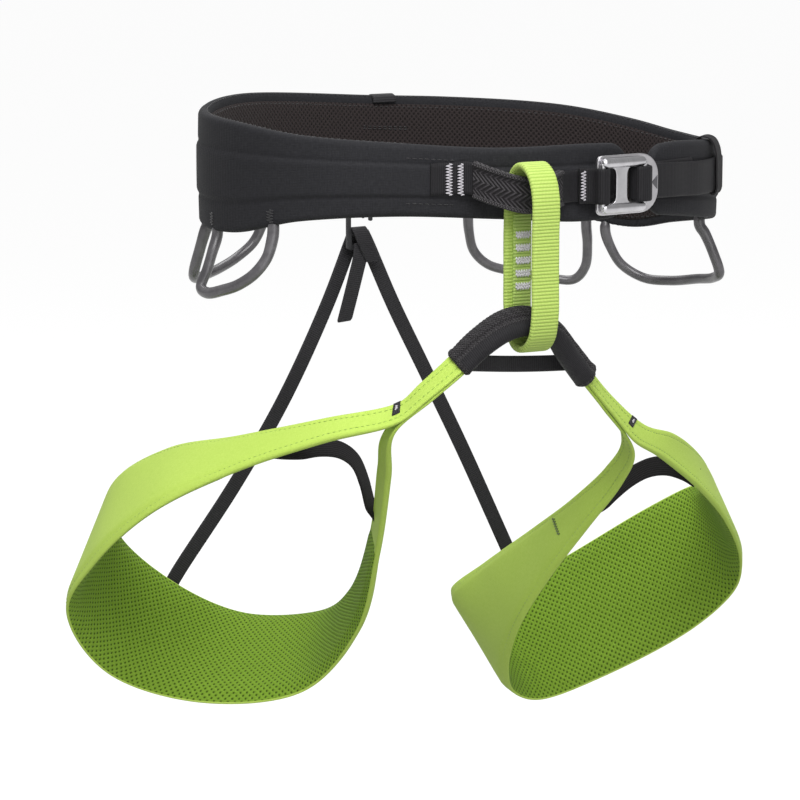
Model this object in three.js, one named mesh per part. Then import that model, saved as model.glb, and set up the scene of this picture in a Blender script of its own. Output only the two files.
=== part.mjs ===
// A climbing sit harness: padded waist belt, belay loop, two fixed leg loops joined by a bridge,
// rear risers and four gear loops. Millimetres, +Z up, the wearer faces -Y and their left is +X.
// The origin is the centre of the waist opening, level with the middle of the belt.
import * as THREE from 'three';

// ---------------------------------------------------------------- driving dimensions

// Waist belt: an ellipse in plan. Angles run from the wearer's left (0) over the back (90).
const beltHalfWidth = 159;
const beltHalfDepth = 113;
const beltEndRadius = 12;
// [angle, height of the centre line, height of the belt], from one wing end to the other
const beltStations = [
  [-66.5, 2, 40],
  [-57, 1, 43],
  [-40, -3, 46],
  [-10, -10, 50],
  [8, -12, 57],
  [24, -12, 68],
  [45, -5, 69],
  [72, 0, 69],
  [90, 3, 68],
  [130, 11, 66],
  [160, 8, 66],
  [190, 7, 63],
  [212, 9, 48],
  [235, 9, 41],
  [256, 6, 40],
  [275, 4, 44],
  [286.5, 4, 42],
];
// Length of the belt in one degree, near its ends, where it is rounded
const beltDegreeLength = 2.1;
const beltBodySteps = 60;
// Layers of the belt, as distances outwards from its middle surface, how far each one
// stays inside the long edges, and how many cross-sections it leaves out at each end
const beltLayers = {
  belt_mesh_lining: { from: -3.0, to: -2.2, inset: 0, trim: 0 },
  belt_foam_core: { from: -1.9, to: 0.7, inset: 1.2, trim: 1 },
  belt_core_webbing: { from: 1.0, to: 1.9, inset: 6, trim: 4 },
  belt_outer_shell: { from: 2.2, to: 3.0, inset: 0, trim: 0 },
};

// Belay loop: a ring of doubled webbing standing in a fore-and-aft plane
const belayX = -32;
const belayWidth = 17;
const belayThickness = 3.6;
// [y, z] of the middle of the webbing
const belayRoute = [
  [-137, 18.5],
  [-147, 13.5],
  [-152, 2],
  [-152, -20],
  [-152, -44],
  [-152, -64],
  [-148.5, -76.5],
  [-140.5, -83],
  [-130.5, -82.5],
  [-123.5, -75],
  [-121.2, -62],
  [-121, -44],
  [-121, -16],
  [-123, 4],
  [-128.5, 14.5],
];

// Tie-in strap on the front of the belt, which the belay loop hangs on
const tieInWidth = 18;
const tieInThickness = 1.8;
const tieInSleeved = [9, 26];
// Outer and inner [width, thickness] of each sleeve
const tieInSleeve = { outer: [23, 5], inner: [20.5, 3] };
const bridgeSleeve = { outer: [20.5, 7.6], inner: [17.6, 4.8] };
// [angle on the belt, distance out from the belt's middle surface, height]
const tieInRoute = [
  [241.5, 4.8, 9.5],
  [246, 4.8, 10],
  [249, 8, 9],
  [253, 17, 4],
  [258, 24, 0.5],
  [263.5, 20, 1],
  [267.5, 11, 2.5],
  [271, 5.4, 3],
  [275, 4.8, 3],
];

// Bridge between the leg loops. Each station is the middle of the webbing and the
// direction across it, from the knee side to the hip side.
const bridgeWidth = 16;
const bridgePly = 1.8;
const bridgeSteps = 40;
const bridgeSleeved = [9, 33];
const bridgeStations = [
  [[-101, -118, -114], [0.2, 0.92, 0.32]],
  [[-91, -123, -106], [0.1, 0.93, 0.34]],
  [[-76.5, -129.5, -92], [0, 0.93, 0.38]],
  [[-63, -133, -79], [0, 0.88, 0.48]],
  [[-47, -135.5, -69.5], [0, 0.82, 0.57]],
  [[-32, -136.5, -68], [0, 0.8, 0.6]],
  [[-18.5, -135.5, -74.5], [0.12, 0.82, 0.55]],
  [[-6, -133, -88], [0.3, 0.82, 0.45]],
  [[7.5, -129.5, -102.5], [0.5, 0.8, 0.35]],
  [[26, -123, -120.5], [0.6, 0.75, 0.28]],
  [[45, -119, -136.5], [0.65, 0.7, 0.3]],
];

// The strap that ties the foot of the arch together
const crossStrapEnds = [
  [-65, -122, -93],
  [12, -117, -99],
];
const crossStrapWidth = 9;

// Leg loops. Each station is a point on the knee-side rim and one on the hip-side rim,
// from the outer branch at the bridge round the thigh to the inner branch.
const legStations = {
  right: [
    [[-108, -121, -122], [-100, -109, -113]],
    [[-140, -93, -135], [-131, -78, -125]],
    [[-176, -57, -154], [-160, -29, -140]],
    [[-210, -16, -182], [-178, 29, -155]],
    [[-230, 22, -218], [-190, 76, -181]],
    [[-235, 50, -251], [-183, 98, -215]],
    [[-202, 66, -296], [-148, 99, -250]],
    [[-150, 51, -316], [-99, 95, -276]],
    [[-101, 16, -308], [-62, 70, -274]],
    [[-85, -26, -265], [-63, 21, -249]],
    [[-91, -65, -209], [-80, -38, -200]],
    [[-101, -98, -158], [-98, -81, -153]],
    [[-108, -118, -128], [-106, -102, -131]],
  ],
  left: [
    [[48, -119, -145], [60, -108, -139]],
    [[78, -103, -163], [91, -90, -150]],
    [[117, -82, -188], [133, -53, -173]],
    [[153, -57, -216], [172, -6, -200]],
    [[184, -27, -250], [194, 36, -213]],
    [[193, -6, -274], [193, 47, -216]],
    [[178, 20, -303], [171, 65, -232]],
    [[127, 48, -335], [128, 98, -267]],
    [[90, 57, -346], [89, 117, -290]],
    [[67, 50, -337], [66, 115, -289]],
    [[51, 30, -314], [51, 98, -278]],
    [[41, 0, -281], [50, 59, -253]],
    [[43, -33, -243], [54, 5, -221]],
    [[50, -64, -208], [54, -42, -194]],
    [[57, -91, -177], [56, -76, -169]],
    [[51, -113, -154], [53, -97, -150]],
  ],
};
const legSteps = 48;
// Half thicknesses of the leg foam, in the webbing branches and in the padded part
const legFoamThin = 0.35;
const legFoamThick = 1.2;
const legSkin = 0.8;
const legLoadFabric = 0.6;
const layerGap = 0.3;
// Where along each leg loop the padding starts and ends, as fractions of its length
const padGrows = [0.06, 0.3];
const padShrinks = [0.72, 0.92];

// Elastic straps that cross the front of each leg loop
const elasticWidth = 13;
const elasticThickness = 1.2;
const elasticRoutes = {
  right: [
    [-151, -64, -146],
    [-137, -61, -146],
    [-122, -57, -146],
    [-108, -54, -148.5],
    [-98, -52, -156],
    [-93, -52, -168],
    [-91.5, -54, -184],
  ],
  left: [
    [60, -47, -200],
    [69, -49, -191],
    [78, -50, -183],
    [88, -53, -177],
    [97, -58, -175],
    [105, -63, -178],
    [112, -68, -183],
  ],
};

// Rear risers, from the hook at the back of the belt to the back of each leg loop
const riserWidth = 9.5;
const riserThickness = 1.4;
const riserRoutes = {
  right: [
    [-12, 119.5, -54],
    [-31, 116, -92],
    [-64, 110.5, -148],
    [-99, 108, -198],
    [-138, 108, -249],
    [-149, 104, -262],
  ],
  left: [
    [-2, 116.5, -56],
    [14, 114, -94],
    [36, 112, -138],
    [62, 110, -190],
    [95, 112, -256],
    [107, 117, -276],
    [116, 114, -292],
  ],
};

// Riser hook, its cord loop and the folded strap tail
const hookX = -7.5;
const hookY = 113;
const hookTop = -34;
const hookThickness = 2.4;
// Outline of the hook plate and of its slot, measured from its top: [sideways, height]
const hookOutline = [
  [-9, -23],
  [9, -23],
  [9, -9],
  [-6, -9],
  [-6, -2.5],
  [5, -2.5],
  [5, -5],
  [7.5, -5],
  [7.5, 0],
  [-9, 0],
];
const hookSlot = [
  [-6.5, -20.5],
  [-6.5, -11.5],
  [6.5, -11.5],
  [6.5, -20.5],
];
const hookCordRadius = 1;
// The cord under the hook's crook: [distance behind the hook's plane, height]
const hookCordRoute = [
  [-2.6, -30.8],
  [-2.7, -34.4],
  [-2.2, -37],
  [0, -38.2],
  [2.2, -37],
  [2.7, -34.4],
  [2.6, -30.8],
];
const tailRoute = [
  [-17, 111, -102],
  [-13, 110.4, -86],
  [-9.5, 110, -66],
  [-7.5, 110, -52],
  [-7, 110, -44.4],
  [-7, 113, -40.6],
  [-7, 116, -44.4],
];

// Gear loops: [angle on the belt, distance out from its middle surface, height]
const gearTubeRadius = 3.3;
const gearLoopRoutes = {
  gear_loop_right_front: [
    [179.5, 0, -28],
    [180.5, 4, -37],
    [181, 8, -47],
    [181, 12, -56.5],
    [185, 13, -59],
    [191, 12, -56],
    [196, 11, -52],
    [200.5, 9, -45],
    [203, 5, -36],
    [203.5, 1, -26],
    [203.5, 0, -22],
  ],
  gear_loop_right_rear: [
    [121, 0, -27],
    [121.5, 3, -39],
    [123, 6, -48],
    [127, 10, -56],
    [133, 12, -61],
    [140, 12.5, -63],
    [146.5, 12, -62.5],
    [150, 10, -57],
    [151.5, 6, -45],
    [152.5, 2, -33],
    [152.5, 0, -27.5],
  ],
  gear_loop_left_rear: [
    [67, 0, -41],
    [66.5, 3, -51],
    [65, 7, -64],
    [61.5, 9, -73],
    [55, 11, -78],
    [47, 12, -82],
    [41, 12, -82.5],
    [38, 9, -74],
    [37, 4, -58],
    [37, 0, -47],
  ],
  gear_loop_left_front: [
    [31.5, 0, -50],
    [30.5, 4, -60],
    [28, 8, -71],
    [22, 11, -79],
    [14, 12.5, -79.5],
    [4, 13, -76],
    [-4, 13, -73],
    [-9, 12, -68],
    [-9.5, 8, -57],
    [-8, 3, -44],
    [-7.5, 0, -39],
  ],
};

// Buckle: its middle, the direction along the belt there, and its plates
const buckleCentre = new THREE.Vector3(39.5, -121, 3);
const buckleTurn = THREE.MathUtils.degToRad(6.5);
const buckleHeight = 35;
const slotHeight = 21;
const frameThickness = 2.2;
const sliderThickness = 2.4;
const buckleWebbing = 20;
const buckleWebbingThickness = 1.4;
// The webbing sewn to the left wing and looped round the buckle's left bars: [along, out]
const anchorRoute = [
  [-31, -4.6],
  [-27.5, -4],
  [-25, -2],
  [-23.7, 1],
  [-23.6, 4.4],
  [-22, 6.3],
  [-18.8, 6.3],
  [-17, 4.4],
  [-17, 1],
  [-17.4, -1.4],
];
// The adjuster is one webbing in three stretches: sewn to the left wing, turned round the
// slider's right bar, and back along the wing as the free tail
const adjusterSewnEnd = [
  [-52, 4.4, 2.6],
  [-58, 4.4, 2.8],
  [-64, 5.2, 3],
];
const adjusterTurn = [
  [13.6, -6],
  [5, -3.4],
  [2.8, -0.6],
  [3.4, 3.4],
  [4.6, 6.2],
  [8.8, 6.9],
  [12.4, 5.6],
  [13.5, 2.4],
  [14, -0.8],
  [18, -2.6],
];
const adjusterLoadEnd = [14.2, -6.1];
const adjusterTailStart = [18.6, -2.8];
const adjusterTail = [
  [-62, 8.4, 2],
  [-56, 6.8, 1],
  [-50, 6.4, 0],
  [-42, 6, -0.5],
  [-34, 6, -0.5],
  [-26, 5.6, -2],
  [-20, 5.2, -3],
];
const keeper = { angle: -38, height: 0, inner: 4, outer: 8, halfHeight: 12, corner: 1.5, width: 9 };

// Haul loop: [distance out from the belt's middle surface, height] from inside to outside
const haulAngle = 88;
const haulWidth = 16;
const haulRoute = [
  [-4.4, 22],
  [-4.6, 34],
  [-4, 38.4],
  [0, 40.4],
  [4.5, 38],
  [11, 26],
  [13.5, 12],
  [12, -2],
  [7.5, -11],
  [4.6, -17],
  [4.4, -24],
];

// ---------------------------------------------------------------- geometry helpers

const vector = (list) => new THREE.Vector3(...list);

// A closed solid from cross-sections, each an array of the same number of points.
// A ring joins its last section to its first; otherwise both ends are capped. The two
// sides of a strip split along the same diagonal, so twisted layers stay parallel.
function loft(sections, ring = false) {
  const around = sections[0].length;
  const positions = sections.flat().flatMap((p) => [p.x, p.y, p.z]);
  const index = [];
  const spans = ring ? sections.length : sections.length - 1;
  for (let i = 0; i < spans; i++) {
    const next = (i + 1) % sections.length;
    for (let j = 0; j < around; j++) {
      const a = i * around + j;
      const b = i * around + ((j + 1) % around);
      const c = next * around + ((j + 1) % around);
      const d = next * around + j;
      if (j < around / 2) index.push(a, b, c, a, c, d);
      else index.push(a, b, d, b, c, d);
    }
  }
  if (!ring) {
    const last = (sections.length - 1) * around;
    for (let j = 1; j < around - 1; j++) {
      index.push(0, j + 1, j, last, last + j, last + j + 1);
    }
  }
  return facingOut(positions, index);
}

// A tube with an open bore: outer and inner cross-sections of the same number of points
function loftHollow(outer, inner) {
  const around = outer[0].length;
  const count = outer.length;
  const positions = [...outer.flat(), ...inner.flat()].flatMap((p) => [p.x, p.y, p.z]);
  const index = [];
  const quad = (a, b, c, d) => index.push(a, b, c, a, c, d);
  for (let j = 0; j < around; j++) {
    const k = (j + 1) % around;
    for (let i = 0; i < count - 1; i++) {
      const near = i * around;
      const far = near + around;
      const bore = count * around;
      quad(near + j, near + k, far + k, far + j);
      quad(bore + near + k, bore + near + j, bore + far + j, bore + far + k);
    }
    const bore = count * around;
    const last = (count - 1) * around;
    quad(bore + j, bore + k, k, j);
    quad(last + j, last + k, bore + last + k, bore + last + j);
  }
  return facingOut(positions, index);
}

// Builds the geometry and turns its faces round if they enclose a negative volume
function facingOut(positions, index) {
  const at = (i) => new THREE.Vector3().fromArray(positions, index[i] * 3);
  let volume = 0;
  for (let i = 0; i < index.length; i += 3) {
    volume += at(i).dot(at(i + 1).cross(at(i + 2)));
  }
  if (volume < 0) index.reverse();
  const geometry = new THREE.BufferGeometry();
  geometry.setAttribute('position', new THREE.Float32BufferAttribute(positions, 3));
  geometry.setIndex(index);
  geometry.computeVertexNormals();
  return geometry;
}

// Unit normals of a strip whose edges are two rows of points; side is +1 or -1
function stripNormals(low, high, side, ring = false) {
  const last = low.length - 1;
  const middle = low.map((p, i) => p.clone().add(high[i]).multiplyScalar(0.5));
  return low.map((p, i) => {
    const before = ring ? (i + last) % (last + 1) : Math.max(i - 1, 0);
    const after = ring ? (i + 1) % (last + 1) : Math.min(i + 1, last);
    const along = middle[after].clone().sub(middle[before]);
    const across = high[i].clone().sub(p);
    return along.cross(across).normalize().multiplyScalar(side);
  });
}

// A flat strip of material between two rows of edge points. from and to are distances
// along the strip's normal, and inset narrows it at both edges.
function strip(low, high, { from, to, inset = 0, side = 1, ring = false }) {
  const normals = stripNormals(low, high, side, ring);
  const distance = (value, i) => (typeof value === 'function' ? value(i / (low.length - 1)) : value);
  const sections = low.map((p, i) => {
    const across = high[i].clone().sub(p).normalize().multiplyScalar(inset);
    const a = p.clone().add(across);
    const b = high[i].clone().sub(across);
    const under = normals[i].clone().multiplyScalar(distance(from, i));
    const over = normals[i].clone().multiplyScalar(distance(to, i));
    return [a.clone().add(under), b.clone().add(under), b.clone().add(over), a.clone().add(over)];
  });
  return loft(sections, ring);
}

// Smooth curve through points, sampled at equal steps from point to point
function samplesOf(points, steps, ring = false) {
  const curve = new THREE.CatmullRomCurve3(points, ring, 'centripetal');
  const count = ring ? steps : steps + 1;
  return Array.from({ length: count }, (_, i) => curve.getPoint(i / steps));
}

// A webbing of even width whose middle follows points; across gives its width direction
function webbing(middle, across, width, options) {
  const half = (i) => across(i).clone().normalize().multiplyScalar(width / 2);
  const low = middle.map((p, i) => p.clone().sub(half(i)));
  const high = middle.map((p, i) => p.clone().add(half(i)));
  return strip(low, high, options);
}

// A round cord along a smooth curve
function cord(points, radius, steps, sides = 8) {
  const section = new THREE.Shape().absarc(0, 0, radius, 0, Math.PI * 2);
  return new THREE.ExtrudeGeometry(section, {
    extrudePath: new THREE.CatmullRomCurve3(points, false, 'centripetal'),
    steps,
    curveSegments: sides / 2,
  });
}

// A point beside the belt: angle in degrees, distance out from the middle surface, height
function besideBelt([angle, out, height]) {
  const turn = THREE.MathUtils.degToRad(angle);
  const point = new THREE.Vector3(
    beltHalfWidth * Math.cos(turn),
    beltHalfDepth * Math.sin(turn),
    height,
  );
  return point.add(beltNormal(angle).multiplyScalar(out));
}

// Horizontal direction straight out from the belt
function beltNormal(angle) {
  const turn = THREE.MathUtils.degToRad(angle);
  return new THREE.Vector3(
    Math.cos(turn) / beltHalfWidth,
    Math.sin(turn) / beltHalfDepth,
    0,
  ).normalize();
}

function piece(name, geometry, colour, roughness, metalness = 0) {
  const material = new THREE.MeshStandardMaterial({ color: colour, roughness, metalness });
  const mesh = new THREE.Mesh(geometry, material);
  mesh.name = name;
  return mesh;
}

// ---------------------------------------------------------------- colours

const lime = 0xb4d565;
const limeMesh = 0x7a9538;
const black = 0x38383a;
const sleeveBlack = 0x312f32;
const elasticBlack = 0x211f1f;
const liningBlack = 0x2f2a2a;
const coreBlack = 0x2b2b2d;
const hookBlack = 0x1d1d1f;
const cordBlack = 0x232325;
const foamGrey = 0x8c8c86;
const brightMetal = 0xb8b8bc;
const gearGrey = 0x737173;

// ---------------------------------------------------------------- waist belt

// Lower and upper edge points of the belt, closer together near its rounded ends
function beltEdges() {
  const table = beltStations.map(vector);
  const curve = new THREE.CatmullRomCurve3(table, false, 'centripetal');
  const first = beltStations[0][0];
  const last = beltStations.at(-1)[0];
  const endSpan = beltEndRadius / beltDegreeLength;
  const angles = [];
  for (let turn = 10; turn < 90; turn += 20) {
    angles.push(endSpan * (1 - Math.cos(THREE.MathUtils.degToRad(turn))));
  }
  const bodyLength = last - first - 2 * endSpan;
  for (let i = 0; i <= beltBodySteps; i++) {
    angles.push(endSpan + (bodyLength * i) / beltBodySteps);
  }
  const mirrored = angles.slice(0, 4).map((a) => last - first - a).reverse();
  const low = [];
  const high = [];
  for (const along of [...angles, ...mirrored]) {
    const angle = first + along;
    const { y: centre, z: height } = stationAt(curve, angle);
    const fromEnd = Math.min(along, last - first - along) * beltDegreeLength;
    const short = Math.max(beltEndRadius - fromEnd, 0);
    const half = height / 2 - beltEndRadius + Math.sqrt(beltEndRadius ** 2 - short ** 2);
    low.push(besideBelt([angle, 0, centre - half]));
    high.push(besideBelt([angle, 0, centre + half]));
  }
  return { low, high };
}

// The point of a station curve whose first coordinate is the given value
function stationAt(curve, value) {
  let low = 0;
  let high = 1;
  for (let i = 0; i < 40; i++) {
    const middle = (low + high) / 2;
    if (curve.getPoint(middle).x < value) low = middle;
    else high = middle;
  }
  return curve.getPoint((low + high) / 2);
}

function waistBelt() {
  const { low, high } = beltEdges();
  const colours = {
    belt_mesh_lining: [liningBlack, 0.95],
    belt_foam_core: [foamGrey, 0.95],
    belt_core_webbing: [coreBlack, 0.85],
    belt_outer_shell: [black, 0.8],
  };
  return Object.entries(beltLayers).map(([name, layer]) => {
    const inside = (row) => row.slice(layer.trim, row.length - layer.trim);
    return piece(name, strip(inside(low), inside(high), layer), ...colours[name]);
  });
}

// ---------------------------------------------------------------- tie-in strap and belay loop

const up = new THREE.Vector3(0, 0, 1);

function tieInStrap() {
  const middle = samplesOf(tieInRoute.map(besideBelt), 32);
  const strap = webbing(middle, () => up, tieInWidth, {
    from: -tieInThickness / 2,
    to: tieInThickness / 2,
  });
  const sleeved = middle.slice(...tieInSleeved);
  const tube = sleeve(sleeved, sleeved.map(() => up), tieInSleeve);
  return [
    piece('tie_in_webbing', strap, black, 0.8),
    piece('tie_in_sleeve', tube, sleeveBlack, 0.85),
  ];
}

// A flattened tube round a webbing
function sleeve(middle, across, { outer, inner }) {
  const low = middle.map((p, i) => p.clone().sub(across[i]));
  const high = middle.map((p, i) => p.clone().add(across[i]));
  const normals = stripNormals(low, high, 1);
  const sides = 12;
  const sections = ([width, thickness], power) =>
    middle.map((p, i) =>
      Array.from({ length: sides }, (_, j) => {
        const turn = (2 * Math.PI * (j + 0.5)) / sides;
        const round = (value) => Math.sign(value) * Math.abs(value) ** (2 / power);
        const wide = across[i].clone().multiplyScalar((round(Math.cos(turn)) * width) / 2);
        const thick = normals[i].clone().multiplyScalar((round(Math.sin(turn)) * thickness) / 2);
        return p.clone().add(wide).add(thick);
      }),
    );
  return loftHollow(sections(outer, 4), sections(inner, 8));
}

function belayLoop() {
  const points = belayRoute.map(([y, z]) => new THREE.Vector3(belayX, y, z));
  const middle = samplesOf(points, 48, true);
  const sideways = new THREE.Vector3(1, 0, 0);
  const geometry = webbing(middle, () => sideways, belayWidth, {
    from: -belayThickness / 2,
    to: belayThickness / 2,
    ring: true,
  });
  return [piece('belay_loop', geometry, lime, 0.7)];
}

// ---------------------------------------------------------------- buckle and its webbings

// A point in the buckle's own frame: along the belt, out from it, and up
function atBuckle(along, out, height) {
  const direction = new THREE.Vector3(Math.cos(buckleTurn), Math.sin(buckleTurn), 0);
  const outwards = new THREE.Vector3(Math.sin(buckleTurn), -Math.cos(buckleTurn), 0);
  return buckleCentre
    .clone()
    .addScaledVector(direction, along)
    .addScaledVector(outwards, out)
    .addScaledVector(up, height);
}

// A plate cut from an outline of along and height, standing between two distances out
function bucklePlate(outline, holes, from, thickness) {
  outline.holes.push(...holes);
  const geometry = new THREE.ExtrudeGeometry(outline, {
    depth: thickness,
    bevelEnabled: false,
    curveSegments: 3,
  });
  const frame = new THREE.Matrix4().makeBasis(
    new THREE.Vector3(1, 0, 0),
    up,
    new THREE.Vector3(0, -1, 0),
  );
  geometry.applyMatrix4(frame);
  geometry.rotateZ(buckleTurn);
  const base = atBuckle(0, from, 0);
  return geometry.translate(base.x, base.y, base.z);
}

// A rectangle with a corner radius on its left side and another on its right side
function roundedOutline(left, right, height, leftRadius, rightRadius, kind = THREE.Shape) {
  const half = height / 2;
  const path = new kind();
  path.moveTo(left + leftRadius, -half);
  path.lineTo(right - rightRadius, -half);
  path.absarc(right - rightRadius, -half + rightRadius, rightRadius, -Math.PI / 2, 0);
  path.lineTo(right, half - rightRadius);
  path.absarc(right - rightRadius, half - rightRadius, rightRadius, 0, Math.PI / 2);
  path.lineTo(left + leftRadius, half);
  path.absarc(left + leftRadius, half - leftRadius, leftRadius, Math.PI / 2, Math.PI);
  path.lineTo(left, -half + leftRadius);
  path.absarc(left + leftRadius, -half + leftRadius, leftRadius, Math.PI, Math.PI * 1.5);
  return path;
}

function buckle() {
  const window = (left, right) => roundedOutline(left, right, slotHeight, 1.5, 1.5, THREE.Path);
  const frame = bucklePlate(
    roundedOutline(-22, 22, buckleHeight + 1, 4, 13),
    [window(-18.5, 15)],
    0,
    frameThickness,
  );
  const slider = bucklePlate(
    roundedOutline(-22, 12, buckleHeight - 2, 4, 2.5),
    [window(-18.5, -10.5), window(-3.5, 5.5)],
    frameThickness + layerGap,
    sliderThickness,
  );
  return [
    piece('buckle_frame', frame, brightMetal, 0.35, 1),
    piece('buckle_slider', slider, brightMetal, 0.25, 1),
  ];
}

// Webbing through the buckle, along points at the height of its middle
function buckleStrap(points) {
  const middle = samplesOf(points, points.length * 4);
  return webbing(middle, () => up, buckleWebbing, {
    from: -buckleWebbingThickness / 2,
    to: buckleWebbingThickness / 2,
  });
}

function buckleWebbings() {
  const threaded = (route) => route.map(([along, out]) => atBuckle(along, out, 0));
  const load = [...adjusterSewnEnd.map(besideBelt), ...threaded([adjusterLoadEnd])];
  const tail = [...threaded([adjusterTailStart]), ...adjusterTail.map(besideBelt)];
  return [
    piece('buckle_anchor_webbing', buckleStrap(threaded(anchorRoute)), black, 0.8),
    piece('adjuster_turn_webbing', buckleStrap(threaded(adjusterTurn)), black, 0.8),
    piece('adjuster_load_webbing', buckleStrap(load), black, 0.8),
    piece('adjuster_tail_webbing', buckleStrap(tail), black, 0.8),
    piece('tail_keeper', tailKeeper(), elasticBlack, 0.85),
  ];
}

// An elastic band round the adjuster's tail: a ring standing across the belt
function tailKeeper() {
  const { angle, inner, outer, halfHeight, corner, width } = keeper;
  const corners = [
    [outer, 0],
    [outer, halfHeight - corner],
    [(inner + outer) / 2, halfHeight],
    [inner, halfHeight - corner],
    [inner, 0],
    [inner, corner - halfHeight],
    [(inner + outer) / 2, -halfHeight],
    [outer, corner - halfHeight],
  ];
  const points = corners.map(([out, height]) => besideBelt([angle, out, keeper.height + height]));
  const alongBelt = beltNormal(angle).cross(up);
  return webbing(samplesOf(points, 24, true), () => alongBelt, width, {
    from: -0.4,
    to: 0.4,
    ring: true,
  });
}

// ---------------------------------------------------------------- bridge

function bridge() {
  const middle = samplesOf(bridgeStations.map(([p]) => vector(p)), bridgeSteps);
  const directions = samplesOf(bridgeStations.map(([, w]) => vector(w)), bridgeSteps);
  const across = directions.map((w) => w.normalize());
  const ply = (from) =>
    webbing(middle, (i) => across[i], bridgeWidth, { from, to: from + bridgePly });
  const sleeved = (row) => row.slice(...bridgeSleeved);
  const tube = sleeve(sleeved(middle), sleeved(across), bridgeSleeve);
  return [
    piece('bridge_webbing_upper', ply(layerGap / 2), lime, 0.75),
    piece('bridge_webbing_lower', ply(-layerGap / 2 - bridgePly), lime, 0.75),
    piece('bridge_sleeve', tube, sleeveBlack, 0.85),
    piece('bridge_cross_strap', crossStrap(), elasticBlack, 0.85),
  ];
}

// The strap that ties the foot of the arch together, just behind the sleeve
function crossStrap() {
  const middle = samplesOf(crossStrapEnds.map(vector), 8);
  return webbing(middle, () => up, crossStrapWidth, { from: -0.8, to: 0.8 });
}

// ---------------------------------------------------------------- leg loops

// 0 in the plain webbing branches, 1 in the padded part of a leg loop
function padding(t) {
  const grown = THREE.MathUtils.smoothstep(t, ...padGrows);
  return grown * (1 - THREE.MathUtils.smoothstep(t, ...padShrinks));
}

function legLoop(side) {
  const stations = legStations[side];
  const low = samplesOf(stations.map(([knee]) => vector(knee)), legSteps);
  const high = samplesOf(stations.map(([, hip]) => vector(hip)), legSteps);
  const facing = side === 'right' ? -1 : 1;
  const half = (t) => legFoamThin + (legFoamThick - legFoamThin) * padding(t);
  const loadFrom = (t) => half(t) + layerGap;
  const shellFrom = (t) => loadFrom(t) + legLoadFabric + layerGap;
  const layer = (from, to) => strip(low, high, { from, to, side: facing });
  const load = layer(loadFrom, (t) => loadFrom(t) + legLoadFabric);
  const foam = layer((t) => -half(t), half);
  const shell = layer(shellFrom, (t) => shellFrom(t) + legSkin);
  const lining = layer((t) => -half(t) - layerGap - legSkin, (t) => -half(t) - layerGap);
  return [
    piece(`leg_${side}_outer_shell`, shell, lime, 0.8),
    piece(`leg_${side}_load_fabric`, load, lime, 0.8),
    piece(`leg_${side}_foam_core`, foam, foamGrey, 0.95),
    piece(`leg_${side}_mesh_lining`, lining, limeMesh, 0.95),
  ];
}

function legElastic(side) {
  const middle = samplesOf(elasticRoutes[side].map(vector), 24);
  const first = legStations[side][0];
  const across = vector(first[1]).sub(vector(first[0])).setX(0);
  const geometry = webbing(middle, () => across, elasticWidth, {
    from: -elasticThickness / 2,
    to: elasticThickness / 2,
  });
  return [piece(`leg_${side}_elastic`, geometry, elasticBlack, 0.9)];
}

// ---------------------------------------------------------------- rear risers

function riser(side) {
  const middle = samplesOf(riserRoutes[side].map(vector), 24);
  const backwards = new THREE.Vector3(0, 1, 0);
  const along = (i) => middle[Math.min(i + 1, 24)].clone().sub(middle[Math.max(i - 1, 0)]);
  const across = (i) => along(i).cross(backwards);
  const geometry = webbing(middle, across, riserWidth, {
    from: -riserThickness / 2,
    to: riserThickness / 2,
  });
  return [piece(`riser_${side}`, geometry, elasticBlack, 0.85)];
}

// A flat plate hook: a slot for the strap, a shank and a crook that hangs on the cord
function riserHook() {
  const points = (outline) => outline.map((pair) => new THREE.Vector2(...pair));
  const outline = new THREE.Shape(points(hookOutline));
  outline.holes.push(new THREE.Path(points(hookSlot)));
  const geometry = new THREE.ExtrudeGeometry(outline, { depth: hookThickness, bevelEnabled: false });
  geometry.rotateX(Math.PI / 2);
  geometry.translate(hookX, hookY + hookThickness / 2, hookTop);
  return [piece('riser_hook', geometry, hookBlack, 0.5)];
}

// The strap folded over the hook's slot bar, with its free end hanging down in front
function riserTail() {
  const sideways = new THREE.Vector3(1, 0, 0.08);
  const geometry = webbing(samplesOf(tailRoute.map(vector), 24), () => sideways, riserWidth, {
    from: -0.6,
    to: 0.6,
  });
  return [piece('riser_tail', geometry, elasticBlack, 0.85)];
}

function hookCord() {
  const points = hookCordRoute.map(([y, z]) => new THREE.Vector3(hookX, hookY + y, z));
  return [piece('hook_cord_loop', cord(points, hookCordRadius, 18), cordBlack, 0.8)];
}

// ---------------------------------------------------------------- gear loops and haul loop

function gearLoops() {
  return Object.entries(gearLoopRoutes).map(([name, route]) =>
    piece(name, cord(route.map(besideBelt), gearTubeRadius, 30), gearGrey, 0.45),
  );
}

// A webbing loop over the top edge of the belt at the back, for hauling a rope or bag
function haulLoop() {
  const points = haulRoute.map(([out, height]) => besideBelt([haulAngle, out, height]));
  const sideways = new THREE.Vector3(1, 0, 0);
  const geometry = webbing(samplesOf(points, 28), () => sideways, haulWidth, {
    from: -0.8,
    to: 0.8,
  });
  return [piece('haul_loop', geometry, black, 0.85)];
}

// ---------------------------------------------------------------- the harness

const harness = new THREE.Group();
harness.add(
  ...waistBelt(),
  ...tieInStrap(),
  ...belayLoop(),
  ...buckle(),
  ...buckleWebbings(),
  ...bridge(),
  ...legLoop('right'),
  ...legElastic('right'),
  ...legLoop('left'),
  ...legElastic('left'),
  ...riser('right'),
  ...riser('left'),
  ...riserHook(),
  ...riserTail(),
  ...hookCord(),
  ...gearLoops(),
  ...haulLoop(),
);

export default harness;
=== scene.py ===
"""The looks of a climbing sit harness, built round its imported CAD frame. Metres, +Z up, -Y is the front."""
import math
from types import SimpleNamespace

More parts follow.
